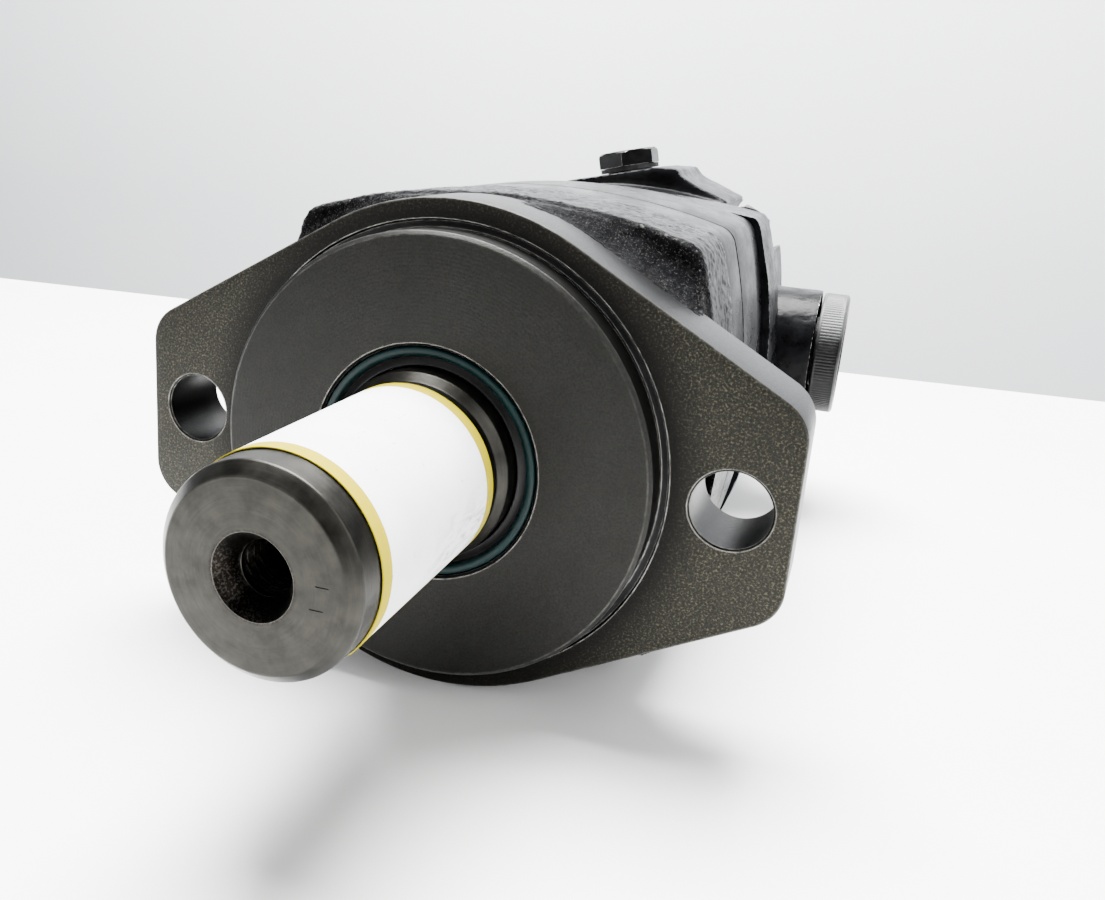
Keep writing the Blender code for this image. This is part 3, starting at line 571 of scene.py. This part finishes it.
def square_key():
    front, rear = span("shaft_key")

    def outline(inset):
        half = KEY_HALF - inset
        inner, outer = -KEY_BED - 0.1 - inset, -KEY_BED - KEY_HEIGHT + inset
        return [(-half, inner), (half, inner), (half, outer), (-half, outer)]

    return plate("square_key", outline, front, rear, 0.3, KEY_TURN)


def wiper_seal():
    """The green dust seal: a round outer bead, and a lip that leans on the journal."""
    return turned("wiper_seal", [(-5.9, 19.55), (-6.3, 20.0), (-6.3, 20.9), (-5.9, 21.15),
                                 (-3.3, 21.1), (-3.3, 17.7), (-5.2, 17.55), (-5.5, 17.9),
                                 (-4.6, 19.3)], 0.35, True, 192)


def port_cap(name, side):
    """A push-in shipping cap with a finely ribbed rim and a shallow dish in its face."""
    front, outer = PORT_FACE + 0.8, (abs(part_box("port_plug_a")[1].x) - ORIGIN.x) / MM

    def ribs(angle, y, r):
        ribbed = front + 0.8 < y < outer - 0.8 and r > 16.9
        return r - 0.11 * (1.0 - abs(math.cos(60.0 * angle))) if ribbed else r
    rim = [(front + 1.0 + 0.5 * step, 17.2) for step in range(int((outer - front - 2.0) / 0.5))]
    profile = [(44.0, 1.0), (44.0, 8.0), (46.0, 9.9), (front, 9.9), (front, 16.9),
               (front + 0.35, 17.2)]
    profile += rim
    profile += [(outer - 0.6, 17.2), (outer, 16.5), (outer, 14.2), (outer - 0.9, 13.4),
                (outer - 0.9, 1.0)]
    return turned(name, profile, 0.2, steps=720, reach=ribs, matrix=along_x(side))


def drain_hex_plug():
    reach = hexagon(9.2, 1.6, 6.2)
    profile = [(-11.0, 1.0), (-11.0, 5.6), (-10.0, 6.5), (1.6, 6.5), (1.65, 8.8), (1.8, 9.2),
               (5.0, 9.2), (5.6, 8.9), (6.15, 7.9), (6.2, 7.4),
               (6.2, 4.6), (5.9, 4.2), (5.9, 1.0)]
    return turned("drain_hex_plug", profile, 0.12, steps=144, reach=reach, matrix=out_of_drain())


def hex_screws():
    made = []
    for index, (x, z) in enumerate(screw_places()):
        reach = hexagon(7.3, LUG_REAR + 0.9, LUG_REAR + 7.0)
        head = LUG_REAR + 0.3
        profile = [(29.0, 1.0), (29.0, 3.4), (30.0, 4.0), (head, 4.0), (head, 6.9),
                   (head + 0.5, 7.0), (head + 0.65, 7.3), (LUG_REAR + 5.6, 7.3),
                   (LUG_REAR + 6.4, 7.0), (LUG_REAR + 7.0, 6.0), (LUG_REAR + 7.0, 1.0)]
        made.append(turned(f"hex_screw_{index + 1}", profile, 0.1, steps=96, reach=reach,
                           matrix=Matrix.Translation((x, 0.0, z))))
    return made


# ---- materials --------------------------------------------------------------
class Look:
    """A Principled material and the texture nodes that feed it, in object space."""

    def __init__(self, name, metallic=0.0, roughness=0.5, **constants):
        self.material = bpy.data.materials.new(name)
        self.material.use_nodes = True
        self.tree = self.material.node_tree
        self.shader = self.tree.nodes["Principled BSDF"]
        self.shader.inputs["Metallic"].default_value = metallic
        self.shader.inputs["Roughness"].default_value = roughness
        for key, value in constants.items():
            self.shader.inputs[key.replace("_", " ")].default_value = value
        self.place = self.node("TexCoord", {}).outputs["Object"]

    def node(self, kind, values, **settings):
        made = self.tree.nodes.new("ShaderNode" + kind)
        for key, value in settings.items():
            setattr(made, key, value)
        for key, value in values.items():
            if isinstance(value, bpy.types.NodeSocket):
                self.tree.links.new(value, made.inputs[key])
            else:
                made.inputs[key].default_value = value
        return made

    def stretch(self, x, y, z, turn=(0.0, 0.0, 0.0)):
        """The place, centred on the shaft axis and stretched along each direction."""
        shifted = self.node("Mapping", {"Vector": self.place, "Location": -ORIGIN},
                            vector_type="POINT")
        return self.node("Mapping", {"Vector": shifted.outputs[0], "Scale": (x, y, z),
                                     "Rotation": turn}).outputs[0]

    def axes(self):
        """Distance from the shaft axis, angle about it and y, in mm and radians."""
        place = self.node("SeparateXYZ", {0: self.stretch(1000.0, 1000.0, 1000.0)}).outputs
        square = self.maths("ADD", self.maths("MULTIPLY", place[0], place[0]),
                            self.maths("MULTIPLY", place[2], place[2]))
        return (self.maths("SQRT", square), self.maths("ARCTAN2", place[0], place[2]), place[1])

    def bolt_distance(self):
        """Distance from the nearer bolt hole's axis, as a share of 20 mm."""
        place = self.node("SeparateXYZ", {0: self.stretch(1000.0, 1000.0, 1000.0)}).outputs
        across = self.maths("SUBTRACT", self.maths("ABSOLUTE", place[0]), BOLT_OFFSET)
        square = self.maths("ADD", self.maths("MULTIPLY", across, across),
                            self.maths("MULTIPLY", place[2], place[2]))
        return self.maths("DIVIDE", self.maths("SQRT", square), 20.0)

    def maths(self, operation, a, b=0.0, clamp=False):
        return self.node("Math", {0: a, 1: b}, operation=operation, use_clamp=clamp).outputs[0]

    def noise(self, size, detail=4.0, where=None, roughness=0.55, distortion=0.0):
        """Noise whose features are about size mm across."""
        where = where or self.place
        return self.node("TexNoise", {"Vector": where, "Scale": 1.0 / (size * MM),
                                      "Detail": detail, "Roughness": roughness,
                                      "Distortion": distortion}).outputs["Fac"]

    def ramp(self, factor, *stops):
        """Colours, or greys given as numbers, at places along a factor."""
        made = self.node("ValToRGB", {0: factor})
        elements = made.color_ramp.elements
        while len(elements) < len(stops):
            elements.new(0.5)
        for element, (place, colour) in zip(elements, stops):
            element.position = place
            grey = isinstance(colour, float)
            element.color = (colour, colour, colour, 1.0) if grey else (*colour, 1.0)
        return made.outputs[0]

    def mix(self, factor, a, b, blend="MIX"):
        values = {0: factor}
        for slot, value in ((6, a), (7, b)):
            values[slot] = (*value, 1.0) if isinstance(value, tuple) else value
        return self.node("Mix", values, data_type="RGBA", blend_type=blend).outputs[2]

    def bump(self, height, distance, before=None, strength=1.0):
        """Bump of the given height in mm, on top of another bump."""
        values = {"Height": height, "Distance": distance * MM, "Strength": strength}
        if before is not None:
            values["Normal"] = before
        return self.node("Bump", values).outputs[0]

    def open_sky(self, reach):
        """1 in the open and 0 deep in a corner or a groove about reach mm wide."""
        made = self.node("AmbientOcclusion", {"Distance": reach * MM}, samples=6)
        return self.ramp(made.outputs["AO"], (0.25, 0.0), (0.95, 1.0))

    def edges(self, radius):
        """1 on edges within about radius mm and 0 elsewhere."""
        rounded = self.node("Bevel", {"Radius": radius * MM}, samples=4).outputs[0]
        true = self.node("NewGeometry", {}).outputs["Normal"]
        dot = self.node("VectorMath", {0: rounded, 1: true}, operation="DOT_PRODUCT")
        return self.maths("MULTIPLY", self.maths("SUBTRACT", 1.0, dot.outputs["Value"]), 6.0, True)

    def set(self, **sockets):
        for key, value in sockets.items():
            target = self.shader.inputs[key.replace("_", " ")]
            if isinstance(value, bpy.types.NodeSocket):
                self.tree.links.new(value, target)
            else:
                target.default_value = (*value, 1.0) if isinstance(value, tuple) else value
        return self


def bare_iron():
    """Machined cast iron: olive brown speckle on the flange, finer and smoother on the pilot."""
    look = Look("bare_iron", 0.75, 0.5, Specular_IOR_Level=0.2)
    distance, _, along = look.axes()
    speckle = look.noise(0.42, 3.0, roughness=0.7)
    blotch = look.noise(9.0, 4.0)
    rough = look.ramp(speckle, (0.36, (0.006, 0.006, 0.005)), (0.54, (0.014, 0.0135, 0.0105)),
                      (0.68, (0.060, 0.056, 0.036)))
    smooth = look.ramp(speckle, (0.3, (0.006, 0.006, 0.0055)), (0.7, (0.013, 0.013, 0.0118)))
    on_pilot = look.ramp(look.maths("DIVIDE", distance, 60.0), (0.68, 1.0), (0.712, 0.0))
    colour = look.mix(on_pilot, rough, smooth)
    colour = look.mix(look.ramp(blotch, (0.35, 0.0), (0.7, 0.25)), colour, (0.005, 0.005, 0.004))
    # Painted shade: a near-black ring on the pilot's side and on the flange face, out to about 50 mm
    # from the axis.
    shade = look.ramp(look.maths("DIVIDE", distance, 60.0), (0.684, 0.0), (0.688, 0.9),
                      (0.735, 0.85), (0.84, 0.0))
    colour = look.mix(shade, colour, (0.0015, 0.0015, 0.0014))
    side = look.ramp(look.maths("MULTIPLY", along, 0.1), (0.05, 0.0), (0.09, 1.0))
    side = look.maths("MULTIPLY", side, look.ramp(look.bolt_distance(), (0.36, 0.0), (0.40, 1.0)))
    # Painted shade: the bolt holes' bores darkened almost to black.
    painted_bore_shade = look.ramp(look.bolt_distance(), (0.345, 1.0), (0.355, 0.0))
    colour = look.mix(look.maths("MULTIPLY", painted_bore_shade, 0.85), colour, (0.002, 0.002, 0.0018))
    brushed = look.noise(1.0, 3.0, look.stretch(0.15, 3.0, 0.15))
    colour = look.mix(side, colour, look.ramp(brushed, (0.3, (0.006, 0.006, 0.0065)),
                                              (0.7, (0.014, 0.014, 0.0145))))
    # Edges lightened in patches: worn metal, and partly a painted highlight along them.
    patchy = look.ramp(look.noise(1.6), (0.35, 0.25), (0.6, 1.0))
    wear_and_edge_highlight = look.maths("MULTIPLY", look.edges(0.35), patchy)
    colour = look.mix(wear_and_edge_highlight, colour, (0.45, 0.44, 0.41))
    rings = look.maths("SINE", look.maths("MULTIPLY", distance, 9.0))
    height = look.maths("MULTIPLY", rings, look.maths("MULTIPLY", on_pilot, 0.5))
    normal = look.bump(height, 0.006)
    normal = look.bump(speckle, 0.05, normal)
    grain = look.maths("ADD", look.maths("MULTIPLY", speckle, 0.25), 0.32)
    return look.set(Base_Color=colour, Normal=normal, Roughness=grain)


def black_paint(name="black_paint", cast=0.5):
    """Thin gloss black paint over iron, lighter here and there along the edges: worn to metal, and
    partly a painted edge highlight.
    """
    look = Look(name, 0.0, 0.3, Specular_IOR_Level=0.4)
    grain = look.noise(0.9, 4.0, roughness=0.6)
    swell = look.noise(11.0, 3.0)
    dust = look.noise(4.0, 6.0, look.stretch(0.6, 0.25, 0.6), 0.65)
    colour = look.ramp(dust, (0.35, (0.001, 0.001, 0.0012)), (0.75, (0.005, 0.0052, 0.006)))
    # Edges lightened in patches: paint worn to metal, and partly a painted highlight along them.
    patchy = look.ramp(look.noise(1.1), (0.5, 0.0), (0.62, 1.0))
    wear_and_edge_highlight = look.maths("MULTIPLY", look.edges(0.3), patchy)
    colour = look.mix(wear_and_edge_highlight, colour, (0.42, 0.42, 0.41))
    normal = look.bump(swell, 0.25)
    normal = look.bump(grain, 0.05 * cast, normal)
    gloss = look.ramp(dust, (0.3, 0.20), (0.75, 0.42))
    smudge = look.ramp(look.noise(14.0, 4.0, look.stretch(1.0, 0.35, 1.0), 0.6), (0.34, 0.5),
                       (0.62, 1.0))
    # Painted shade: ambient occlusion dims the paint's reflection in corners and grooves.
    shine = look.maths("MULTIPLY", look.maths("MULTIPLY", look.open_sky(3.0), smudge), 0.06)
    return look.set(Base_Color=colour, Normal=normal, Roughness=gloss, Specular_IOR_Level=shine,
                    Metallic=look.maths("MULTIPLY", wear_and_edge_highlight, 0.9))


def sand_cast_paint():
    """The same paint where it lies on the rough sand-cast housing."""
    look = Look("sand_cast_paint", 0.0, 0.3, Specular_IOR_Level=0.4)
    _, _, along = look.axes()
    ahead = look.ramp(look.maths("MULTIPLY", along, 0.02), (0.395, 1.0), (0.425, 0.0))
    grain = look.noise(0.45, 4.0, roughness=0.75)
    dust = look.noise(4.0, 6.0, look.stretch(0.6, 0.25, 0.6), 0.65)
    colour = look.ramp(dust, (0.35, (0.001, 0.001, 0.0012)), (0.75, (0.005, 0.0052, 0.006)))
    # Painted glints: light specks in the colour on the rough cove just behind the flange.
    painted_glint = look.ramp(look.noise(0.35, 2.0, roughness=0.8), (0.58, 0.0), (0.66, 0.7))
    colour = look.mix(look.maths("MULTIPLY", painted_glint, ahead), colour, (0.06, 0.06, 0.058))
    # Edges lightened in patches: paint worn to metal, and partly a painted highlight along them.
    patchy = look.ramp(look.noise(0.9), (0.45, 0.0), (0.6, 0.8))
    wear_and_edge_highlight = look.maths("MULTIPLY", look.edges(0.8), patchy)
    colour = look.mix(wear_and_edge_highlight, colour, (0.42, 0.42, 0.41))
    depth = look.maths("ADD", look.maths("MULTIPLY", ahead, 0.9), 0.1)
    normal = look.bump(look.noise(11.0, 3.0), 0.25)
    normal = look.bump(look.maths("MULTIPLY", grain, depth), 0.35, normal)
    gloss = look.maths("ADD", look.maths("MULTIPLY", dust, 0.25), 0.16)
    smudge = look.ramp(look.noise(14.0, 4.0, look.stretch(1.0, 0.35, 1.0), 0.6), (0.34, 0.5),
                       (0.62, 1.0))
    # Painted shade: the paint's reflection dimmed in the cove just behind the flange, and by ambient
    # occlusion in corners and grooves.
    painted_cove_shade = look.maths("SUBTRACT", 1.0, look.maths("MULTIPLY", ahead, 0.8))
    shine = look.maths("MULTIPLY", look.maths("MULTIPLY", look.open_sky(5.0), smudge), painted_cove_shade)
    return look.set(Base_Color=colour, Normal=normal, Roughness=gloss,
                    Specular_IOR_Level=look.maths("MULTIPLY", shine, 0.06),
                    Metallic=look.maths("MULTIPLY", wear_and_edge_highlight, 0.9))


def steel(name, dark, light, roughness, ring=0.0, rust=0.0):
    """Ground or turned steel with fine lines round the shaft axis and faint stains."""
    look = Look(name, 1.0, roughness)
    distance, angle, along = look.axes()
    where = look.node("CombineXYZ", {0: look.maths("MULTIPLY", distance, 1.0),
                                     1: look.maths("MULTIPLY", along, 1.0),
                                     2: look.maths("MULTIPLY", angle, 0.6)}).outputs[0]
    lines = look.node("TexNoise", {"Vector": where, "Scale": 2.2, "Detail": 6.0,
                                   "Roughness": 0.75}).outputs["Fac"]
    stain = look.noise(3.5, 6.0, roughness=0.6)
    colour = look.ramp(stain, (0.35, dark), (0.68, light))
    colour = look.mix(look.ramp(lines, (0.35, 0.4), (0.65, 0.0)), colour,
                      tuple(channel * 0.55 for channel in dark))
    if rust:
        inside = look.ramp(look.maths("DIVIDE", distance, 20.0), (0.32, rust), (0.345, 0.0))
        speck = look.ramp(look.noise(0.35, 3.0), (0.42, 0.0), (0.5, 1.0))
        colour = look.mix(look.maths("MULTIPLY", inside, speck), colour, (0.004, 0.0028, 0.002))
    plain_face = look.ramp(look.maths("DIVIDE", distance, 20.0), (0.36, 1.0), (0.39, 0.0),
                           (0.62, 0.0), (0.67, 1.0))
    # Edges lightened: worn steel, and partly a painted highlight along them, kept off the ring of the
    # end face.
    wear_and_edge_highlight = look.maths("MULTIPLY", look.edges(0.25), look.maths("MULTIPLY", plain_face, 0.7))
    colour = look.mix(wear_and_edge_highlight, colour, (0.16, 0.155, 0.145))
    normal = look.bump(lines, 0.012 + 0.02 * ring)
    normal = look.bump(look.noise(0.5), 0.006, normal)
    gloss = look.maths("ADD", look.maths("MULTIPLY", stain, 0.22), roughness - 0.1)
    return look.set(Base_Color=colour, Normal=normal, Roughness=gloss)


def rubber(name, dark, light, roughness, black_inside=0.0):
    """Moulded rubber with a dusty bloom; inside a radius it turns black."""
    look = Look(name, 0.0, roughness, Specular_IOR_Level=0.15)
    bloom = look.noise(2.5, 5.0)
    colour = look.ramp(bloom, (0.3, dark), (0.75, light))
    if black_inside:
        distance, _, _ = look.axes()
        inner = look.ramp(look.maths("DIVIDE", distance, 40.0),
                          ((black_inside - 0.15) / 40.0, 1.0),
                          ((black_inside + 0.15) / 40.0, 0.0))
        colour = look.mix(inner, colour, (0.003, 0.003, 0.003))
    normal = look.bump(look.noise(0.6, 3.0), 0.02)
    gloss = look.maths("ADD", look.maths("MULTIPLY", bloom, 0.3), roughness - 0.15)
    return look.set(Base_Color=colour, Normal=normal, Roughness=gloss)


def label_paper():
    """Coated white paper with a yellow border, greyed in noisy patches at its lower right towards the
    rear: painted shade.
    """
    look = Look("label_paper", 0.0, 0.5, Specular_IOR_Level=0.08)
    front, rear = span("shaft_label")
    _, angle, along = look.axes()
    arc_left = look.maths("MINIMUM", look.maths("SUBTRACT", LABEL_END, angle),
                          look.maths("SUBTRACT", angle, LABEL_START))
    margin = look.maths("MINIMUM", look.maths("SUBTRACT", along, front),
                        look.maths("SUBTRACT", rear, along))
    margin = look.maths("MINIMUM", margin, look.maths("MULTIPLY", arc_left, 16.2))
    wobble = look.maths("MULTIPLY", look.noise(6.0, 2.0), 0.25)
    border = look.ramp(look.maths("MULTIPLY", look.maths("ADD", margin, wobble), 0.1),
                       (0.285, 1.0), (0.295, 0.0))
    paper = look.ramp(look.noise(8.0, 3.0), (0.3, (0.78, 0.79, 0.80)), (0.7, (0.86, 0.865, 0.87)))
    ink = look.ramp(look.noise(5.0, 3.0), (0.3, (0.34, 0.28, 0.0)), (0.7, (0.38, 0.31, 0.0)))
    colour = look.mix(border, paper, ink)
    # Painted shade: the paper greyed in noisy patches on its lower right side, towards the rear.
    shade_patches = look.noise(3.0, 8.0, look.stretch(1.0, 0.55, 1.6, (0.0, 0.5, 0.3)), 0.7, 0.6)
    low = look.ramp(look.maths("DIVIDE", angle, math.pi), (0.42, 0.0), (0.56, 1.0))
    back = look.ramp(look.maths("DIVIDE", look.maths("SUBTRACT", along, front), rear - front),
                     (0.35, 0.0), (0.6, 1.0))
    smudge = look.maths("MULTIPLY", look.ramp(shade_patches, (0.48, 0.0), (0.68, 0.85)),
                        look.maths("MULTIPLY", low, back))
    colour = look.mix(smudge, colour, (0.16, 0.16, 0.14))
    specks = look.ramp(look.noise(1.3, 2.0), (0.735, 0.0), (0.76, 0.6))
    colour = look.mix(specks, colour, (0.2, 0.2, 0.19))
    normal = look.bump(look.noise(5.0, 3.0), 0.08)
    return look.set(Base_Color=colour, Normal=normal)


def moulded_plastic():
    """The dark plastic of the port caps, lighter towards the top and at the very bottom."""
    look = Look("moulded_plastic", 0.0, 0.42, Specular_IOR_Level=0.2)
    cloud = look.noise(6.0, 4.0)
    height = look.node("SeparateXYZ", {0: look.stretch(1000.0, 1000.0, 1000.0)}).outputs[2]
    height = look.maths("ADD", look.maths("MULTIPLY", cloud, 7.0), height)
    # Lighter towards the top and at the very bottom, by height.
    lighter_top_and_bottom = look.ramp(look.maths("ADD", look.maths("DIVIDE", height, 40.0), 0.5),
                      (0.10, 0.75), (0.14, 0.0), (0.74, 0.0), (0.86, 1.0))
    colour = look.mix(lighter_top_and_bottom, (0.0012, 0.0012, 0.0014), (0.055, 0.057, 0.056))
    colour = look.mix(look.ramp(look.noise(1.2, 5.0), (0.58, 0.0), (0.7, 0.2)), colour,
                      (0.05, 0.05, 0.048))
    normal = look.bump(look.noise(0.8, 3.0), 0.02)
    gloss = look.maths("ADD", look.maths("MULTIPLY", cloud, 0.25), 0.25)
    return look.set(Base_Color=colour, Normal=normal, Roughness=gloss)


def black_oxide():
    """Blackened steel of the screws and the drain plug."""
    look = Look("black_oxide", 0.85, 0.4, Specular_IOR_Level=0.25)
    stain = look.noise(2.0, 5.0)
    colour = look.ramp(stain, (0.3, (0.002, 0.002, 0.0024)), (0.75, (0.008, 0.008, 0.0085)))
    # Edges lightened in patches: worn oxide, and partly a painted highlight along them.
    patchy = look.ramp(look.noise(0.8), (0.45, 0.1), (0.6, 0.9))
    wear_and_edge_highlight = look.maths("MULTIPLY", look.edges(0.3), patchy)
    colour = look.mix(wear_and_edge_highlight, colour, (0.38, 0.37, 0.36))
    normal = look.bump(look.noise(0.5, 3.0), 0.015)
    gloss = look.maths("ADD", look.maths("MULTIPLY", stain, 0.3), 0.22)
    return look.set(Base_Color=colour, Normal=normal, Roughness=gloss)


def table_top():
    look = Look("table_top", 0.0, 0.55)
    cloud = look.noise(60.0, 3.0)
    colour = look.ramp(cloud, (0.3, (0.83, 0.83, 0.825)), (0.7, (0.88, 0.88, 0.875)))
    return look.set(Base_Color=colour, Normal=look.bump(look.noise(20.0, 3.0), 0.05))


def wall_paint():
    look = Look("wall_paint", 0.0, 0.8)
    cloud = look.noise(300.0, 2.0)
    colour = look.ramp(cloud, (0.3, (0.80, 0.82, 0.85)), (0.7, (0.84, 0.86, 0.88)))
    return look.set(Base_Color=colour)


# ---- studio -----------------------------------------------------------------
def sheet(name, corners, look):
    build = bmesh.new()
    build.faces.new([build.verts.new(corner) for corner in corners])
    item = finish(name, build)
    item.data.materials.append(look.material)


def studio():
    """A white table whose far edge runs slantwise behind the motor, and a wall behind it."""
    floor = -ORIGIN.z / MM
    left, right = Vector((-405.0, 282.3, floor)), Vector((173.0, 360.6, floor))
    along = (right - left).normalized()
    near = Vector((along.y, -along.x, 0.0))
    far_left, far_right = left - along * 1500.0, right + along * 1500.0
    sheet("table", [far_left, far_right, far_right + near * 2500.0, far_left + near * 2500.0],
          table_top())
    back = -near * 500.0
    low, high = Vector((0.0, 0.0, -400.0)), Vector((0.0, 0.0, 1600.0))
    sheet("wall", [far_left * 1.2 + back + low, far_right * 1.2 + back + low,
                   far_right * 1.2 + back + high, far_left * 1.2 + back + high], wall_paint())


def area_light(name, at, target, size, power, colour=(1.0, 1.0, 1.0)):
    lamp = bpy.data.lights.new(name, "AREA")
    lamp.shape = "RECTANGLE"
    lamp.size, lamp.size_y = size
    lamp.energy = power
    lamp.color = colour
    item = bpy.data.objects.new(name, lamp)
    item.location = world(*at)
    aim = world(*target) - item.location
    item.rotation_euler = aim.to_track_quat("-Z", "Y").to_euler()
    bpy.context.scene.collection.objects.link(item)


def lights():
    """A soft light overhead, two weak fills, and a room brighter behind than in front."""
    area_light("ceiling", (-120.0, 260.0, 950.0), (0.0, 60.0, 0.0), (0.75, 0.55), 125.0)
    area_light("window", (900.0, -150.0, 500.0), (0.0, 60.0, 0.0), (0.8, 0.8), 12.0)
    area_light("front_fill", (-400.0, -900.0, 450.0), (0.0, 0.0, 0.0), (0.9, 0.6), 6.0)
    space = bpy.data.worlds.new("room")
    space.use_nodes = True
    tree = space.node_tree
    sky = tree.nodes["Background"]
    sky.inputs["Color"].default_value = (0.93, 0.96, 1.0, 1.0)
    place = tree.nodes.new("ShaderNodeTexCoord")
    parts = tree.nodes.new("ShaderNodeSeparateXYZ")
    ramp = tree.nodes.new("ShaderNodeMapRange")
    tree.links.new(place.outputs["Generated"], parts.inputs[0])
    tree.links.new(parts.outputs["Y"], ramp.inputs["Value"])
    for key, value in (("From Min", -0.5), ("From Max", 0.7), ("To Min", 0.10), ("To Max", 0.9)):
        ramp.inputs[key].default_value = value
    tree.links.new(ramp.outputs[0], sky.inputs["Strength"])
    bpy.context.scene.world = space


# ---- assembly ---------------------------------------------------------------
def dress(item, look, nodes, body):
    item.data.materials.clear()
    item.data.materials.append(look.material)
    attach(item, body)
    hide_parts(*nodes)


def build_motor():
    iron, paint, rough = bare_iron(), black_paint(), sand_cast_paint()
    shaft_steel = steel("shaft_steel", (0.018, 0.0175, 0.0155), (0.032, 0.031, 0.027), 0.36, 0.3, 0.9)
    oxide, plastic = black_oxide(), moulded_plastic()
    dress(flange_and_pilot(), iron, ["bearing_housing"], "housing")
    dress(housing_body(), rough, ["bearing_housing"], "housing")
    for piece, node in zip(body_plates(), ("wear_plate", "geroler_ring", "valve_plate")):
        dress(piece, paint, [node], "housing")
    dress(valve_casting(), black_paint("cast_paint", 1.6), ["valve_housing"],
          "housing")
    dress(machined_shaft(), shaft_steel, ["output_shaft"], "shaft")
    dress(label_wrap(), label_paper(), ["shaft_label"], "shaft")
    key_look = steel("key_steel", (0.30, 0.29, 0.27), (0.44, 0.43, 0.41), 0.4)
    dress(square_key(), key_look, ["shaft_key"], "shaft")
    green = rubber("seal_green", (0.0001, 0.006, 0.0062), (0.0004, 0.012, 0.0125), 0.42, 19.5)
    dress(wiper_seal(), green, ["dust_seal"], "housing")
    for side, letter in ((1, "a"), (-1, "b")):
        dress(port_cap(f"port_cap_{letter}", side), plastic,
              [f"port_plug_{letter}"], "housing")
    dress(drain_hex_plug(), oxide, ["drain_plug"], "housing")
    for index, screw in enumerate(hex_screws()):
        dress(screw, oxide, [f"cap_screw_{index + 1}"], "housing")


def finish_inner_nodes():
    """The pieces inside the motor keep their CAD shape and take a finish by their slot."""
    looks = {
        "bearing_steel": steel("bearing_steel", (0.46, 0.46, 0.47), (0.60, 0.60, 0.61), 0.22),
        "rotor_steel": steel("rotor_steel", (0.34, 0.34, 0.35), (0.47, 0.47, 0.48), 0.3),
        "seal_black": rubber("seal_black", (0.010, 0.010, 0.010), (0.03, 0.03, 0.03), 0.55),
    }
    for part in frame["record"]["subparts"]:
        item = frame["nodes"][part["node"]]
        if not item.hide_render:
            item.data.materials.clear()
            item.data.materials.append(looks[part["material_slot"]].material)


aim_camera()
studio()
lights()
build_motor()
finish_inner_nodes()
